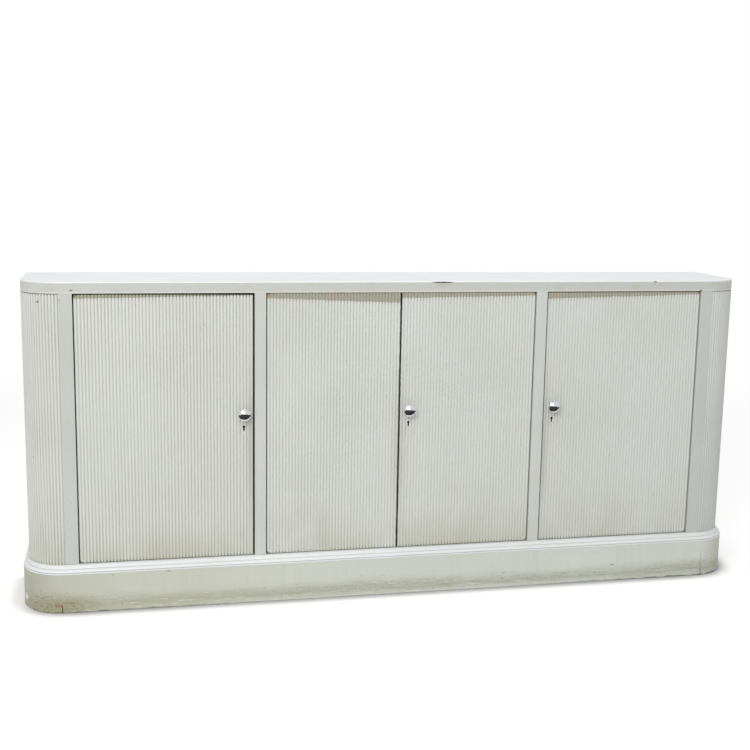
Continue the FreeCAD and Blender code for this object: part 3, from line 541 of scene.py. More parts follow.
def top_paint():
    """Paint of the top, whiter than the rest as painted light on its upward face, with its front edge greyed
    and painted highlights on its front arris and the fascia's lower lip.
    """
    paint = Paint("top_paint", TOP_PAINT, X)
    low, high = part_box("top_board")
    level = paint.axes[Z]
    front, front_shade = FASCIA_PAINT
    front = paint.laid(front, front_shade, paint.blots(0.4, 0.7, 1.0, (5, 5, 160), 5), 0.6)
    front = paint.laid(front, YELLOWED, paint.blots(0.55, 0.75, 24, (1, 1, 1), 4), 0.22)
    # A painted highlight along the fascia's lower lip
    front = paint.laid(front, FASCIA_LIP_HIGHLIGHT, paint.reach(level, low.z, FASCIA_FOOT), 0.6)
    # A painted highlight along the top's rounded front edge
    paint.cover(TOP_EDGE_HIGHLIGHT, paint.reach(paint.axes[Y], low.y, TOP_HIGHLIGHT_REACH), 0.9)
    paint.cover(front, paint.reach(level, high.z, FASCIA_TOP))
    for x, (half_width, _, half_height) in NICKS.items():
        sizes = (half_width, MARK_DEPTH, half_height * SMEAR_TALLER)
        paint.cover(NICK_SMEAR, paint.spot((x, low.y, high.z - SMEAR_DROP), sizes), 0.35)
    for x, (drop, half_width, half_height) in TOP_MARKS.items():
        mark = paint.spot((x, low.y, high.z - drop), (half_width, MARK_DEPTH, half_height), 0.5)
        paint.cover(SOOT, mark, 0.8)
    return paint.satin(0.42)


def mop_dirt(paint, low, high):
    """Dirt along the plinth's foot: olive streaks with ochre lines, scuffs, flecks and dark knocks."""
    level = paint.axes[Z]
    tide = paint.fade(paint.ragged(level, paint.noise(7, (0.6, 0.6, 3.0), 6), TIDE_RAGGED), *TIDE)
    unwiped = paint.fade(paint.math("ABSOLUTE", paint.axes[X]), *UNWIPED)
    dirt_left = paint.math("MAXIMUM", paint.fade(level, *WIPED), paint.times(unwiped, 0.5))
    streaks = paint.times(paint.noise(1.0, (16, 16, 230), 6), 1.5)
    grain = paint.math("SUBTRACT", paint.noise(1.0, (130, 130, 260), 4), 0.25)
    stain = paint.times(tide, dirt_left, paint.math("ADD", streaks, grain))
    paint.cover(paint.mix(paint.fade(paint.axes[X], low.x, high.x), OLIVE, OLIVE_GREY), stain, 0.63)
    paint.cover(OCHRE, stain, paint.blots(0.50, 0.68, 1.0, (7, 7, 300), 4), 0.22)
    paint.cover(FLECK, tide, paint.blots(0.60, 0.68, 1.0, (34, 34, 300), 5), 0.45)
    paint.cover(FLECK, paint.specks(95, 0.17, 0.22), paint.fade(level, *FLECKS), 0.7)
    paint.cover(SOOT, paint.specks(60, 0.14, 0.2), paint.fade(level, *KNOCKS), 0.6)


def worn_corners(paint, low, high):
    """Pits at the plinth's corners, a dark sole of dirt and painted contact shade, and the rough left corner
    with bare wood and a chip.
    """
    level = paint.axes[Z]
    from_middle = paint.math("ABSOLUTE", paint.axes[X])
    board_end = Vector((low.x, low.y, 0.0))
    corner = paint.reach(from_middle, high.x, PLINTH_CORNERS)
    paint.cover(SMOKE, paint.blots(0.56, 0.66, 130, (1, 1, 1), 4), corner, paint.fade(level, *PITS), 0.55)
    # Dirt and painted contact shade along the plinth's foot
    sole = paint.fade(paint.ragged(level, paint.noise(35, detail=5), SOLE_RAGGED), *SOLE)
    paint.cover(SOOT, sole, paint.fade(from_middle, SOLE_START, high.x + SOLE_END), 0.7)
    rough = paint.spot(board_end + Vector(ROUGH_PLACE), ROUGH_SIZES, 0.2)
    paint.cover(GRIME, rough, 0.5)
    paint.cover(OCHRE, rough, paint.blots(0.46, 0.56, 95, (1, 1, 1.6), 5), 0.45)
    paint.cover(SOOT, rough, paint.blots(0.54, 0.66, 110, (1, 1, 1.4), 4), 0.42)
    patch = paint.spot(board_end + Vector(BARE_PLACE), BARE_SIZES)
    paint.cover(BARE_BROWN, patch, paint.blots(0.45, 0.58, 1.0, (40, 40, 150), 4), 0.6)
    chip = paint.spot(board_end + Vector(CHIP_PLACE), CHIP_SIZES, 0.6)
    paint.cover(FLECK, chip, paint.blots(0.35, 0.45, 160))


def plinth_paint():
    """Paint of the plinth, darker and yellower to the left as painted shade, with dirt and painted shade at
    its ends, mop dirt along the floor and worn corners.
    """
    paint = Paint("plinth_paint", PLINTH_PAINT, X)
    low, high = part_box("plinth_front")
    # Painted shade: darker and yellower towards the left
    paint.cover(PLINTH_AGE_AND_SHADE, paint.fade(paint.axes[X], high.x * 0.6, low.x), 0.5)
    paint.cover(PLINTH_AGE_AND_SHADE, paint.blots(0.45, 0.75, 1.0, (55, 55, 6), 5), 0.2)
    # Dirt and painted shade where the plinth's ends turn away from the light
    paint.cover(GRIME, paint.reach(paint.math("ABSOLUTE", paint.axes[X]), high.x, PLINTH_END_SHADE_AND_DIRT), 0.38)
    paint.cover(GRIME, paint.reach(paint.axes[X], low.x, PLINTH_LEFT_SHADE_AND_DIRT), 0.2)
    mop_dirt(paint, low, high)
    worn_corners(paint, low, high)
    for x, (height, half_width, half_height) in PLINTH_MARKS.items():
        mark = paint.spot((x, low.y, height), (half_width, MARK_DEPTH, half_height), 0.4)
        paint.cover(SOOT, mark, 0.7)
    return paint.satin(depth=PLINTH_BRUSH_DEPTH)


def moulding_paint():
    """Paint of the moulding, whiter than the plinth as painted light on its upward faces, with lines of
    painted shade in its quirks.
    """
    paint = Paint("moulding_paint", MOULDING_PAINT, X)
    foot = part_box("moulding_front")[0].z
    worn = paint.math("MULTIPLY_ADD", paint.noise(6, detail=5), 0.9, 0.45)
    # Lines of painted shade along the quirks
    for height, half_width, strength in MOULDING_SHADE_LINES:
        line = paint.fade(paint.away(Z, foot + height), half_width, half_width * 0.5)
        paint.cover(SMOKE, line, worn, strength)
    return paint.satin(0.45)


def reed_paint(name, row, low, high, colours):
    """Paint of a row of reeds between two corners, with a painted highlight on the crests, painted shade and
    dirt in the grooves and painted shade at the grooves' ends; returned with the masks of its grooves and
    patches.
    """
    paint = Paint(name, colours, Z)
    groove = paint.node("ShaderNodeAttribute", {"attribute_name": "groove"}).outputs["Fac"]
    deep = paint.fade(groove, 0.45, 1.0)
    level = paint.axes[Z]
    patches = paint.noise(5, (1, 1, 0.5), 4)
    # A painted highlight on the crests, and painted shade with dirt in the grooves
    paint.cover(REED_CREST_HIGHLIGHT, paint.fade(groove, 0.3, 0.0), GROOVE_SHADING_AND_DIRT[row])
    paint.cover(GRIME, deep, paint.fade(patches, 0.1, 0.8), GROOVE_SHADING_AND_DIRT[row])
    foot = paint.ragged(level, paint.noise(11, (1, 1, 0.4), 4), REED_FOOT_RAGGED)
    spots = paint.blots(0.35, 0.65, 7, (1, 1, 0.6), 3)
    paint.cover(YELLOWED, paint.reach(foot, low.z, REED_FOOT), spots, FOOT_YELLOW[row])
    # Painted shade in the grooves at both ends of the reeds, by the gaps
    head_end = paint.reach(level, high.z, REED_HEAD_SHADE)
    foot_end = paint.reach(level, low.z, REED_FOOT_SHADE)
    ends = paint.math("MAXIMUM", head_end, foot_end)
    paint.cover(SOOT, deep, ends, paint.fade(patches, 0.3, 0.5), 0.8)
    return paint, deep, patches


def hanging_band(paint, door, depths, top, deep, tooth, tint):
    """Dirt and painted shadow under a door's top edge, with its depths at the hinge and free edge and teeth
    in the grooves.
    """
    free_x, hinge_x = door_edges(door)
    at_hinge, at_free = depths
    depth = paint.node("ShaderNodeMapRange", Value=paint.axes[X], From_Min=hinge_x, From_Max=free_x,
                       To_Min=at_hinge, To_Max=at_free).outputs["Result"]
    uneven = paint.times(paint.noise(1.0, (110, 110, 4)), tooth * 0.6)
    depth = paint.math("ADD", depth, paint.math("MULTIPLY_ADD", deep, tooth, uneven))
    past = paint.math("SUBTRACT", paint.math("SUBTRACT", top, paint.axes[Z]), depth)
    paint.cover(tint, paint.fade(past, *BAND_EDGE), 0.9)


def hand_dirt(paint, door, front, deep, patches):
    """Hand dirt at a door's free edge, dirt and painted shade where two doors meet, and dirty grooves round
    a keyhole whose eye and slit are in painted shade.
    """
    from_edge = paint.away(X, door_edges(door)[0])
    hands = paint.fade(paint.away(Z, KEY_LEVEL - HAND_DROP), *HAND_HEIGHTS)
    paint.cover(GRIME, paint.fade(from_edge, HAND_WIDTH, 0.0), hands, patches, 0.55)
    if door in MEETING_SHADE_AND_DIRT:
        # Dirt and painted shade along the gap where the doors meet
        uneven = paint.times(paint.noise(90, (1, 1, 0.5), 4), MEETING_SHADE_AND_DIRT[door] * 2)
        paint.cover(SOOT, paint.fade(paint.math("SUBTRACT", from_edge, uneven), *MEETING_EDGE), 0.7)
    if door in LOCKED_DOORS:
        x = key_x(door)
        touched = paint.spot((x, front, KEY_LEVEL), KEY_DIRT)
        paint.cover(SMOKE, touched, deep, paint.blots(0.42, 0.6, 55, (1, 1, 0.6), 4), 0.7)
        # Painted shade at the keyhole's eye and slit
        eye = paint.spot((x, front, KEY_LEVEL), KEY_EYE, 0.85)
        slit = paint.spot((x, front, KEY_LEVEL - KEY_SLIT_DROP), KEY_SLIT, 0.85)
        paint.cover(HOLE[0], paint.math("MAXIMUM", eye, slit))


def door_paint(door, low, high):
    """Paint of a door's reeds, with dirt from hands, a band of dirt and painted shadow under the top and
    marks at its pivots.
    """
    paint, deep, patches = reed_paint(f"{door}_paint", door, low, high, REED_PAINT)
    front = low.y - REED_RISE
    hinge_x = door_edges(door)[1]
    tint = paint.mix(paint.blots(0.45, 0.65, 24), BAND_OLIVE, BAND_BROWN)
    # A band of dirt and painted shadow under the top
    hanging_band(paint, door, TOP_DIRT_AND_SHADOW_BANDS[door], high.z, deep, BAND_TOOTH, tint)
    if door in TOP_GAP_SHADOW:
        # Painted shadow of the wide gap over the left door, with grey teeth of painted shadow in the grooves
        hanging_band(paint, door, TOP_SHADOW_TEETH[door], high.z, deep, SHADOW_TOOTH, SMOKE)
        hanging_band(paint, door, TOP_GAP_SHADOW[door], high.z, deep, GAP_SHADOW_TOOTH, SOOT_DEEP)
    hand_dirt(paint, door, front, deep, patches)
    for height in (low.z, high.z):
        paint.cover(SOOT, paint.spot((hinge_x, front, height), PIVOT_SMUDGE, 0.2), 0.75)
    fleck_x = hinge_x - hinge_side(door) * PIVOT_FLECK_INWARD
    paint.cover(FLECK, paint.spot((fleck_x, front, low.z + PIVOT_FLECK_UP), PIVOT_FLECK, 0.5), 0.8)
    return paint.satin()


def end_paint(word, low, high):
    """Paint of the reeds of one corner and end, with painted light on the upper part and in the grooves of
    the right one.
    """
    paint, deep, patches = reed_paint(f"end_paint_{word}", word, low, high, END_PAINT[word])
    rubbed = paint.blots(0.5, 0.6, 60, (1, 1, 0.15), 4)
    paint.cover(SMOKE, rubbed, deep, paint.fade(patches, 0.5, 0.65), 0.4)
    if word == "right":
        # Painted light: the right end lighter above, and its grooves filled in lighter
        lit_grooves = paint.math("MULTIPLY_ADD", deep, 0.3, 0.3)
        paint.cover(RIGHT_END_PAINTED_LIGHT, paint.reach(paint.axes[Z], low.z, RIGHT_END_LIGHT_FADE), lit_grooves)
    else:
        paint.cover(SOOT, paint.spot(CORNER_MARK, CORNER_MARK_SIZES, 0.4), 0.75)
    return paint.satin()


def wood(name, along, colours):
    """Bare aged wood with its grain along one axis, given its light, dark and pore colours."""
    tree = new_material(name)
    light, dark, pore_colour = colours
    grain = tree.noise(1.0, grain_scale(64.0, 1.3, along), 5, 0.4)
    pore = tree.blots(0.56, 0.72, 1.0, grain_scale(520.0, 11.0, along), 2)
    tone = tree.blots(0.35, 0.7, 1.0, grain_scale(5.0, 0.6, along), 3, 0.5)
    colour = tree.mix(tree.fade(grain, 0.3, 0.72), light, dark)
    colour = tree.laid(colour, dark, tone, 0.45)
    colour = tree.laid(colour, pore_colour, pore, 0.5)
    rough = tree.math("MULTIPLY_ADD", grain, 0.25, 0.5)
    return tree.shade(Base_Color=colour, Roughness=rough, Normal=tree.bump(pore, -PORE_DEPTH))


def metal(name, colours, roughness, stain_share):
    """Bare or plated metal with cloudy tarnish and fine scratches."""
    tree = new_material(name)
    clouds = tree.blots(0.75 - stain_share, 0.85, 160, (1, 1, 1), 6)
    scratches = tree.noise(1.0, (2600, 300, 900), 2)
    rough = tree.math("ADD", tree.times(clouds, 0.25), tree.times(scratches, roughness))
    return tree.shade(Base_Color=tree.mix(clouds, *colours), Roughness=rough, Metallic=1.0,
                      Normal=tree.bump(scratches, SCRATCH_DEPTH))


def soot(name, light, dark):
    """Dirt or bare wood in the depth of a crack or nick, and painted shade in the depth of the keyhole."""
    tree = new_material(name)
    colour = tree.mix(tree.noise(300, detail=4), light, dark)
    return tree.shade(Base_Color=colour, Roughness=0.9)


# Meshes

def add_object(name, data):
    """An object in the scene."""
    made = bpy.data.objects.new(name, data)
    bpy.context.scene.collection.objects.link(made)
    return made


def mesh_from(name, made):
    """A mesh with the shape of a bmesh, which is freed."""
    mesh = bpy.data.meshes.new(name)
    made.to_mesh(mesh)
    made.free()
    return mesh


def shade_smooth(mesh):
    """Shade a mesh smoothly up to its sharp edges, and drop any normals stored with it."""
    if mesh.has_custom_normals:
        mesh.attributes.remove(mesh.attributes["custom_normal"])
    mesh.polygons.foreach_set("use_smooth", [True] * len(mesh.polygons))
    mesh.set_sharp_from_angle(angle=SHARP_ANGLE)


def new_piece(name, mesh, body, materials, slot, nodes):
    """An object for a mesh, which rides on a body and stands for its CAD nodes."""
    made = add_object(name, mesh)
    for material in materials:
        mesh.materials.append(material)
    shade_smooth(mesh)
    made.modifiers.new("flat_faces", "WEIGHTED_NORMAL").keep_sharp = True
    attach(made, body)
    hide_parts(*nodes)
    return made


def outer_faces(made):
    """The faces that lie on the outside of a shape's convex hull."""
    points = np.array([vert.co for vert in made.verts])
    found = set()
    for face in made.faces:
        ahead = (points - np.array(face.calc_center_median())) @ np.array(face.normal)
        if ahead.max() < HULL_REACH:
            found.add(face)
    return found


def is_arris(edge, outer):
    """Whether an edge is one that sanding and paint would round, and not the rim of a cut."""
    if len(edge.link_faces) != 2 or not edge.is_convex:
        return False
    if edge.calc_face_angle() < SHARP_ANGLE:
        return False
    return edge.calc_length() > LONG_EDGE or all(face in outer for face in edge.link_faces)


def softened(nodes, materials, arris, body="case", pick=None, cuts=(), seams=(), crisp_below=-math.inf):
    """A copy of CAD nodes as one piece with rounded edges, apart from those under the level crisp_below.

    pick(face) gives the number of a face's material. cuts are planes that part faces, as point and normal.
    seams are planes where two nodes meet, as an axis and a place, and their hidden faces are left out.
    """
    made = bmesh.new()
    for node in nodes:
        made.from_mesh(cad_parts[node].data)
    bmesh.ops.remove_doubles(made, verts=made.verts, dist=WELD)
    for axis, place in seams:
        hidden = [face for face in made.faces
                  if all(abs(vert.co[axis] - place) < SEAM_REACH for vert in face.verts)]
        bmesh.ops.delete(made, geom=hidden, context="FACES")
    bmesh.ops.dissolve_limit(made, angle_limit=PLANE_ANGLE, verts=made.verts, edges=made.edges)
    outer = outer_faces(made)
    edges = [edge for edge in made.edges
             if is_arris(edge, outer) and max(vert.co.z for vert in edge.verts) > crisp_below]
    bmesh.ops.bevel(made, geom=edges, offset=arris, segments=ARRIS_STEPS, profile=0.5, affect="EDGES")
    for point, normal in cuts:
        geometry = list(made.verts) + list(made.edges) + list(made.faces)
        bmesh.ops.bisect_plane(made, geom=geometry, plane_co=point, plane_no=normal)
    if pick is not None:
        for face in made.faces:
            face.material_index = pick(face)
    name = f"{nodes[0]}_worn"
    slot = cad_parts[nodes[0]].data.materials[0].name
    return new_piece(name, mesh_from(name, made), body, materials, slot, nodes)


def reed_rise(share):
    """How far a reed's painted face stands out, from one edge of the reed, at 0, to the other, at 1."""
    half = REED_PITCH / 2
    crown = REED_RISE - REED_EDGE_RISE
    radius = (half ** 2 + crown ** 2) / (2 * crown)
    across = (share - 0.5) * REED_PITCH
    arc = REED_RISE - radius + math.sqrt(radius ** 2 - across ** 2)
    return (arc + GROOVE_FILL + math.hypot(arc - GROOVE_FILL, GROOVE_ROUND)) / 2


def row_levels(low, high):
    """Levels of the points along a reed, close together where its ends are rounded, with the loss there."""
    middle = max(2, round((high - low) / REED_ROW_LENGTH))
    levels = [(low + REED_END_ROUND * step, loss) for step, loss in REED_END_CURVE]
    for number in range(1, middle):
        levels.append((low + (high - low) * number / middle, 0.0))
    levels += [(high - REED_END_ROUND * step, loss) for step, loss in reversed(REED_END_CURVE)]
    return levels


def reeding_faces(count, rows):
    """Faces of a sheet of reeds with so many rows of points: the front's, then the others."""
    width = count * REED_FACES + 1
    last_row = (rows - 1) * width
    back_start = rows * width
    back_top = back_start + count + 1
    front = []
    for row in range(rows - 1):
        for column in range(width - 1):
            corner = row * width + column
            front.append((corner, corner + 1, corner + 1 + width, corner + width))
    rest = []
    for reed in range(count):
        first = reed * REED_FACES
        rim = list(range(first, first + REED_FACES + 1))
        rest.append([back_start + reed, back_start + reed + 1] + rim[::-1])
        rest.append([last_row + point for point in rim] + [back_top + reed + 1, back_top + reed])
        rest.append((back_start + reed + 1, back_start + reed, back_top + reed, back_top + reed + 1))
    for reed, column in ((0, 0), (count, width - 1)):
        rim = [row * width + column for row in range(rows)]
        rest.append(rim + [back_top + reed, back_start + reed])
    return front, rest


def reeding_mesh(name, station, count, low, high, seed):
    """A closed sheet of reeds. station(s) gives the back's place and the outward direction at reed s."""
    chance = random.Random(seed)
    levels = row_levels(low, high)
    rises = [reed_rise(number / REED_FACES) for number in range(REED_FACES)]
    groove_rise = reed_rise(0.0)
    depth = reed_rise(0.5) - groove_rise
    offsets = [chance.gauss(0, REED_UNEVEN) for number in range(count + 1)]
    tilts = [chance.gauss(0, REED_UNEVEN) for number in range(count + 1)]
    phases = [chance.uniform(0, 2 * math.pi) for number in range(count + 1)]
    points = []
    grooves = []
    for level, loss in levels:
        for column in range(count * REED_FACES + 1):
            reed, part = divmod(column, REED_FACES)
            share = part / REED_FACES
            x, y, out_x, out_y = station(reed + share)
            body = math.sin(math.pi * share)
            wave = REED_WAVE * math.sin(REED_WAVE_RATE * level + phases[reed])
            rise = rises[part] + body * (offsets[reed] + wave + tilts[reed] * (share - 0.5))
            rise -= loss * REED_END_ROUND * body
            points.append((x + out_x * rise, y + out_y * rise, level))
            grooves.append(1 - min(1, max(0, (rises[part] - groove_rise) / depth)))
    for level in (low, high):
        for reed in range(count + 1):
            x, y, _, _ = station(reed)
            points.append((x, y, level))
            grooves.append(1.0)
    front, rest = reeding_faces(count, len(levels))
    mesh = bpy.data.meshes.new(name)
    mesh.from_pydata(points, [], front + rest)
    made = bmesh.new()
    made.from_mesh(mesh)
    bmesh.ops.recalc_face_normals(made, faces=made.faces)
    made.to_mesh(mesh)
    made.free()
    mesh.attributes.new("groove", "FLOAT", "POINT").data.foreach_set("value", grooves)
    mesh.polygons.foreach_set("material_index", [0] * len(front) + [1] * len(rest))
    return mesh


def cut_with(piece, cutter):
    """Cut one object out of another, for good, and remove the cutter."""
    modifier = piece.modifiers.new("cut", "BOOLEAN")
    modifier.object = cutter
    modifier.solver = "EXACT"
    modifier.operation = "DIFFERENCE"
    modifier.material_mode = "TRANSFER"
    bpy.context.view_layer.update()
    view = piece.evaluated_get(bpy.context.evaluated_depsgraph_get())
    mesh = bpy.data.meshes.new_from_object(view)
    mesh.name = piece.data.name
    shade_smooth(mesh)
    piece.modifiers.remove(modifier)
    piece.data = mesh
    bpy.data.objects.remove(cutter)


def cutter_of(name, made, material):
    """An object for a bmesh that is used as a cutter. The cut's faces take its material."""
    mesh = mesh_from(name, made)
    mesh.materials.append(material)
    return add_object(name, mesh)


def prism_cutter(name, outline, front_y, back_y, material):
    """A prism along Y over an outline of X and Z."""
    made = bmesh.new()
    face = made.faces.new([made.verts.new((x, front_y, z)) for x, z in outline])
    grown = bmesh.ops.extrude_face_region(made, geom=[face])["geom"]
    moved = [item for item in grown if isinstance(item, bmesh.types.BMVert)]
    bmesh.ops.translate(made, verts=moved, vec=(0, back_y - front_y, 0))
    bmesh.ops.recalc_face_normals(made, faces=made.faces)
    return cutter_of(name, made, material)


def keyhole_outline(x):
    """A round hole with a slot below it."""
    half_slot = math.asin(KEY_SLOT / 2 / KEY_RADIUS)
    outline = []
    for step in range(KEY_STEPS + 1):
        angle = -math.pi / 2 + half_slot + (2 * math.pi - 2 * half_slot) * step / KEY_STEPS
        outline.append((x + KEY_RADIUS * math.cos(angle), KEY_LEVEL + KEY_RADIUS * math.sin(angle)))
    outline.append((x - KEY_SLOT / 2, KEY_LEVEL - KEY_DROP))
    outline.append((x + KEY_SLOT / 2, KEY_LEVEL - KEY_DROP))
    return outline


def crack_outline(x, height, lean, width):
    """A crack that opens towards the floor, with one kink."""
    foot_x = x + lean
    kink_x = x + lean * KINK_LEAN
    kink_z = height * KINK_HEIGHT
    return [(x, height), (kink_x - width * KINK_LEFT, kink_z), (foot_x - width / 2, CRACK_FOOT),
            (foot_x + width / 2, CRACK_FOOT), (kink_x + width * KINK_RIGHT, kink_z)]


def nick_cutter(place, sizes, seed, material):
    """A ragged lump that takes a chip out of an edge."""
    chance = random.Random(seed)
    made = bmesh.new()
    bmesh.ops.create_icosphere(made, subdivisions=NICK_DETAIL, radius=1)
    for vert in made.verts:
        reach = 1 + chance.uniform(*NICK_RAGGED)
        vert.co = Vector([part * size * reach for part, size in zip(vert.co, sizes)])
    bmesh.ops.translate(made, verts=made.verts, vec=place)
    return cutter_of("nick", made, material)


def bowed(start, end, rise):
    """Points from start towards end, as radius and reach, on a curve that bulges from their line by rise."""
    radius, reach = start
    wider = end[0] - radius
    further = end[1] - reach
    length = math.hypot(wider, further)
    points = []
    for step in range(CURVE_STEPS):
        share = step / CURVE_STEPS
        off = 4 * rise * share * (1 - share) / length
        points.append((radius + wider * share + further * off, reach + further * share - wider * off))
    return points


def crowned(radius, reach, rise):
    """Points of a domed end, from its rim to its middle."""
    shares = [1 - step / CURVE_STEPS for step in range(CURVE_STEPS + 1)]
    return [(radius * share, reach + rise * (1 - share ** 2)) for share in shares]


def add_turned(made, axis, profile):
    """Add a solid to a bmesh, turned about a line along Y through axis, where the reach is 0."""
    x, y, z = axis
    verts = [made.verts.new((x + radius, y + reach, z)) for radius, reach in profile]
    edges = [made.edges.new(pair) for pair in zip(verts, verts[1:])]
    bmesh.ops.spin(made, geom=verts + edges, cent=axis, axis=(0, 1, 0), angle=2 * math.pi,
                   steps=TURN_STEPS, use_merge=True)


# Pieces

def door_reeding(door, gap_shade_wood, hole):
    """The reeds of one door, with the keyhole cut through them where the door has a lock."""
    low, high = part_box(f"{door}_panel")
    low.z -= REED_OVERHANG
    high.z += REED_LIFT[door]
    count = round((high.x - low.x) / REED_PITCH)

    def station(reed):
        return low.x + (high.x - low.x) * reed / count, low.y, 0, -1

    mesh = reeding_mesh(f"{door}_reeding", station, count, low.z, high.z, DOORS.index(door))
    hinge_face = -2 if door in FREE_EDGE_RIGHT else -1
    mesh.polygons[hinge_face].material_index = 0
    paint = door_paint(door, low, high)
    made = new_piece(f"{door}_reeding", mesh, door, [paint, gap_shade_wood], "reeds", [f"{door}_slats"])
    if door in LOCKED_DOORS:
        outline = keyhole_outline(key_x(door))
        cut_with(made, prism_cutter("keyhole", outline, low.y - 2 * REED_RISE, low.y - KEY_FLOOR, hole))


def door_panel(door, materials):
    """A door's board: painted front and hinge edge, bare back, other edges in dark wood as painted shade for
    the gaps, and the keyhole in painted shade.
    """
    def pick(face):
        middle = face.calc_center_median()
        if abs(face.normal.y) > FACING:
            return BARE if face.normal.y > 0 else PAINTED
        if face.normal.x * hinge_side(door) > FACING and face.calc_area() > LARGE_FACE:
            return PAINTED
        # Faces by the keyhole take the painted shade of its inside
        near_key = door in LOCKED_DOORS and abs(middle.x - key_x(door)) < 2 * KEY_RADIUS
        return KEYHOLE if near_key and abs(middle.z - KEY_LEVEL) < 2 * KEY_DROP else GAP_SHADE_EDGE

    softened([f"{door}_panel"], materials, LEAF_ARRIS, door, pick)


def door_knob(door, chrome):
    """A door's turned knob with a flat crown, and the domed bolt head behind the door."""
    low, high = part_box(f"{door}_knob")
    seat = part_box(f"{door}_slats")[0].y
    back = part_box(f"{door}_panel")[1].y
    x = (low.x + high.x) / 2
    z = (low.z + high.z) / 2
    rim = (high.x - low.x) / 2 - KNOB_RIM_ROUND
    rim_top = seat - low.y - KNOB_CROWN
    rim_foot = rim_top - KNOB_RIM_HEIGHT
    profile = [(0, 0), (KNOB_BASE_RADIUS, 0)]
    profile += bowed((KNOB_BASE_RADIUS, KNOB_BASE_THICK), (rim, rim_foot), -KNOB_WAIST)
    profile += bowed((rim, rim_foot), (rim, rim_top), KNOB_RIM_ROUND)
    profile += crowned(rim, rim_top, KNOB_CROWN)
    made = bmesh.new()
    add_turned(made, (x, seat, z), [(radius, -reach) for radius, reach in profile])
    head = [(0, 0), (KNOB_BOLT_RADIUS, 0)]
    head += crowned(KNOB_BOLT_RADIUS, KNOB_BOLT_EDGE, high.y - back - KNOB_BOLT_EDGE)
    add_turned(made, (x, back, z), head)
    bmesh.ops.remove_doubles(made, verts=made.verts, dist=WELD)
    bmesh.ops.recalc_face_normals(made, faces=made.faces)
    name = f"{door}_turned_knob"
    new_piece(name, mesh_from(name, made), door, [chrome], "chrome", [f"{door}_knob"])


def end_reeding(word, gap_shade_wood):
    """The reeds round one corner and along the end behind it."""
    side = SIDES[word]
    low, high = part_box(f"corner_core_{word}")
    row_low, row_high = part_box(f"end_slats_{word}")
    radius = high.x - low.x
    axis_x = low.x if side == RIGHT else high.x
    end_reeds = round((row_high.y - high.y) / REED_PITCH)

    def station(reed):
        if reed > CORNER_REEDS:
            return axis_x + side * radius, high.y + (reed - CORNER_REEDS) * REED_PITCH, side, 0
        angle = math.pi / 2 * reed / CORNER_REEDS
        out_x, out_y = side * math.sin(angle), -math.cos(angle)
        return axis_x + radius * out_x, high.y + radius * out_y, out_x, out_y

    name = f"end_reeding_{word}"
    mesh = reeding_mesh(name, station, CORNER_REEDS + end_reeds, row_low.z, row_high.z, name)
    paint = end_paint(word, row_low, row_high)
    new_piece(name, mesh, "case", [paint, gap_shade_wood], "reeds", [f"end_slats_{word}"])


def dress_case(paint_z, paint_x, wood_x, wood_y, wood_z, gap_shade_wood):
    """Boards, uprights and shelves of the case."""
    leaf_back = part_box("left_door_panel")[1].y
    outer_paint = Paint("outer_upright_paint", OUTER_PAINT, Z).satin()
    front_cut = [(Vector((0, leaf_back, 0)), Vector((0, 1, 0)))]

    def under_top(face):
        return int(face.normal.z < -FACING and face.calc_center_median().y > leaf_back)

    def on_floor(face):
        return int(face.normal.z > FACING and face.calc_center_median().y > leaf_back)

    def faces_in(face):
        middle = face.calc_center_median()
        turned_back = face.normal.y > FACING_BACK and middle.y < 0
        return int(turned_back or face.normal.x * middle.x < -FACING_SIDEWAYS)

    def faces_back(face):
        return int(face.normal.y > FACING)

    # Sides that face a door's free edge take the dark wood of painted shade
    def faces_free_edge(face):
        outward = face.normal.x * face.calc_center_median().x > FACING_SIDEWAYS
        return int(outward or face.normal.y > FACING)

    low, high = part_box("top_board")
    top = softened(["top_board"], [top_paint(), wood_x], TOP_ARRIS, pick=under_top, cuts=front_cut,
                   crisp_below=(low.z + high.z) / 2)
    bare = soot("bare_nick", *NICK_BARE)
    for x, sizes in NICKS.items():
        cut_with(top, nick_cutter(Vector((x, low.y, high.z - NICK_DROP)), sizes, x, bare))
    softened(["bottom_board"], [paint_x, wood_x], TRIM_ARRIS, pick=on_floor, cuts=front_cut)
    for word in SIDES:
        softened([f"stile_outer_{word}"], [outer_paint, gap_shade_wood], TRIM_ARRIS * 2, pick=faces_back)
        softened([f"stile_inner_{word}"], [paint_z, gap_shade_wood], TRIM_ARRIS * 2, pick=faces_free_edge)
        softened([f"end_panel_{word}"], [paint_z, wood_z], BOARD_ARRIS, pick=faces_in)
        softened([f"corner_core_{word}"], [paint_z, wood_z], TRIM_ARRIS, pick=faces_in)
        softened([f"divider_{word}"], [wood_z], TRIM_ARRIS)
        softened([f"shelf_{word}"], [wood_x], BOARD_ARRIS)
    softened(["shelf_centre"], [wood_x], BOARD_ARRIS)
    softened(["shelf_battens"], [wood_y], TRIM_ARRIS)
    softened(["door_stops"], [wood_x], TRIM_ARRIS)
    softened(["back_panel"], [wood_x], TRIM_ARRIS)


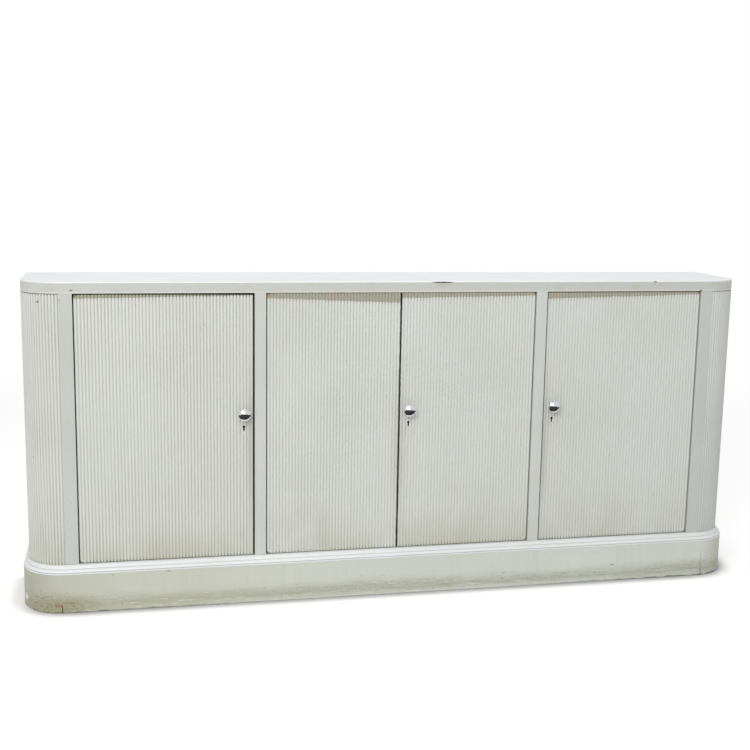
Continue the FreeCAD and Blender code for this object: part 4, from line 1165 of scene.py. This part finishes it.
def dress_plinth(paint, trim_paint, wood_x, wood_y, dark):
    """Plinth boards, painted over as one, with cracks beside the corners' seams, and their moulding."""
    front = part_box("plinth_front")[0].y
    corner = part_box("corner_core_right")
    seams = [(X, side * corner[0].x) for side in SIDES.values()]
    boards = ["plinth_front"] + [f"plinth_{part}_{word}" for word in SIDES for part in ("corner", "end")]
    plinth = softened(boards, [paint], BOARD_ARRIS, seams=seams + [(Y, corner[1].y)])
    for word, (outside, height, lean, width) in CRACKS.items():
        side = SIDES[word]
        outline = crack_outline(side * (corner[0].x + outside), height, side * lean, width)
        cut_with(plinth, prism_cutter("crack", outline, front + CRACK_START, front + CRACK_DEPTH, dark))
    softened(["plinth_back"], [wood_x], BOARD_ARRIS)
    softened(["plinth_bearers"], [wood_y], TRIM_ARRIS)
    mouldings = ["moulding_front"] + [f"moulding_{word}" for word in SIDES]
    softened(mouldings, [trim_paint], TRIM_ARRIS, seams=seams)


def dress_doors(paint_z, wood_z, gap_shade_wood, hole, chrome):
    """Boards and reeds of the four doors, and the knobs of those that have a lock."""
    for door in DOORS:
        door_reeding(door, gap_shade_wood, hole)
        door_panel(door, [paint_z, wood_z, gap_shade_wood, hole])
    for door in LOCKED_DOORS:
        door_knob(door, chrome)


def plate_metals():
    """Materials of the fittings, set on the CAD nodes, whose shapes are right."""
    finishes = {
        "hinge_metal": metal("old_brass", BRASS, 0.5, 0.4),
        "lock_metal": metal("old_steel", STEEL, 0.6, 0.25),
    }
    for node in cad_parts.values():
        slot = node.data.materials[0].name
        if slot in finishes:
            node.material_slots[0].material = finishes[slot]


def build_cabinet():
    """Every piece of the cabinet."""
    paint_z = Paint("upright_paint", CASE_PAINT, Z).satin()
    paint_x = Paint("board_paint", CASE_PAINT, X).satin()
    wood_x, wood_y, wood_z = [wood(f"wood_along_{word}", axis, BARE_WOOD) for axis, word in enumerate("xyz")]
    # Dark wood on the faces in the gaps between doors and stiles, as painted shade
    gap_shade_wood = wood("dark_gap_shade_wood", Z, GAP_SHADE_WOOD)
    dark = soot("soot", SOOT, SOOT_DEEP)
    # Painted shade for the keyhole's inside
    hole = soot("keyhole_painted_shade", *HOLE)
    for word in SIDES:
        end_reeding(word, gap_shade_wood)
    dress_case(paint_z, paint_x, wood_x, wood_y, wood_z, gap_shade_wood)
    dress_plinth(plinth_paint(), moulding_paint(), wood_x, wood_y, dark)
    dress_doors(paint_z, wood_z, gap_shade_wood, hole, metal("chrome_plate", CHROME, 0.08, 0.1))
    plate_metals()


# Stage

def seen_rays(tree):
    """1 on rays that show the background: those of the camera, and those in gloss and glass."""
    path = tree.node("ShaderNodeLightPath").outputs
    seen = tree.math("MAXIMUM", path["Is Camera Ray"], path["Is Glossy Ray"])
    return tree.math("MAXIMUM", seen, path["Is Transmission Ray"])


def white_floor():
    """A pale floor that keeps the shadow, with a contact shade painted from its occlusion and lifted on the
    left, and that shines white away from it.
    """
    tree = new_material("white_floor")
    # Painted contact shade: the floor darker where nearby geometry hides the sky, less so on the left
    open_sky = tree.node("ShaderNodeAmbientOcclusion", {"samples": CONTACT_SAMPLES},
                         Distance=CONTACT_REACH).outputs["AO"]
    left_side = tree.reach(tree.axes[X], cad_box[0].x, FLOOR_LEFT)
    clear = tree.math("MAXIMUM", tree.fade(open_sky, *CONTACT_OPEN), tree.times(left_side, 0.7))
    near_floor = tree.node("ShaderNodeAddShader")
    tree.feed(near_floor.inputs[0], tree.diffuse(tree.mix(clear, CONTACT_SHADE, FLOOR_WHITE)))
    tree.feed(near_floor.inputs[1], tree.glow(tree.times(clear, FLOOR_GLOW)))
    seen = seen_rays(tree)
    seen_floor = tree.mix_shaders(seen, tree.diffuse(FLOOR_WHITE), near_floor.outputs["Shader"])
    far = tree.times(tree.fade(tree.length(tree.place), *FLOOR_FADE), seen)
    tree.node("ShaderNodeOutputMaterial", Surface=tree.mix_shaders(far, seen_floor, tree.glow(1.0)))
    return tree.owner


def floor():
    """The floor of the set."""
    made = bmesh.new()
    bmesh.ops.create_grid(made, x_segments=1, y_segments=1, size=FLOOR_HALF_SIZE)
    mesh = mesh_from("floor", made)
    mesh.materials.append(white_floor())
    sheet = add_object("floor", mesh)


def dark_room():
    """Dull dark floor and low wall in front of the cabinet, seen only in the bright metal."""
    tree = new_material("dark_room")
    colour = tree.mix(tree.noise(3, detail=4), ROOM_BLACK, ROOM_GREY)
    rows = [(ROOM_NEAR, ROOM_FLOOR), (ROOM_FAR, ROOM_FLOOR), (ROOM_FAR, ROOM_WALL)]
    points = [(side * ROOM_HALF_WIDTH, y, z) for y, z in rows for side in (LEFT, RIGHT)]
    mesh = bpy.data.meshes.new("dark_room")
    mesh.from_pydata(points, [], [(0, 1, 3, 2), (2, 3, 5, 4)])
    mesh.materials.append(tree.shade(Base_Color=colour, Roughness=0.9))
    sheet = add_object("dark_room", mesh)
    for rays in ("camera", "diffuse", "shadow", "transmission"):
        setattr(sheet, f"visible_{rays}", False)


def white_world():
    """An even pale surround that shows as white."""
    world = bpy.data.worlds.new("surround")
    bpy.context.scene.world = world
    tree = Tree(world)
    lit, shown = [tree.node("ShaderNodeBackground", Color=WHITE, Strength=strength).outputs["Background"]
                  for strength in (SURROUND_LIGHT, 1.0)]
    tree.node("ShaderNodeOutputWorld", Surface=tree.mix_shaders(seen_rays(tree), lit, shown))


def lamp(name, place, target, width, height, power):
    """A soft box that shines from a place to a target."""
    data = bpy.data.lights.new(name, "AREA")
    data.shape = "RECTANGLE"
    data.size = width
    data.size_y = height
    data.energy = power
    made = add_object(name, data)
    made.location = place
    made.rotation_euler = (Vector(target) - Vector(place)).to_track_quat("-Z", "Y").to_euler()


def camera():
    """The camera of the main view."""
    data = bpy.data.cameras.new("camera")
    data.lens = CAMERA_LENS
    data.sensor_width = CAMERA_SENSOR
    made = add_object("camera", data)
    turn = Matrix.Rotation(-CAMERA_YAW, 4, "Z") @ Matrix.Rotation(math.pi / 2 + CAMERA_PITCH, 4, "X")
    made.matrix_world = Matrix.Translation(CAMERA_PLACE) @ turn @ Matrix.Rotation(CAMERA_ROLL, 4, "Z")
    bpy.context.scene.camera = made


def build_stage():
    """Floor, light and camera."""
    floor()
    dark_room()
    white_world()
    for name, settings in LAMPS.items():
        lamp(name, *settings)
    camera()
    bpy.context.scene.view_settings.view_transform = "Standard"


build_cabinet()
build_stage()
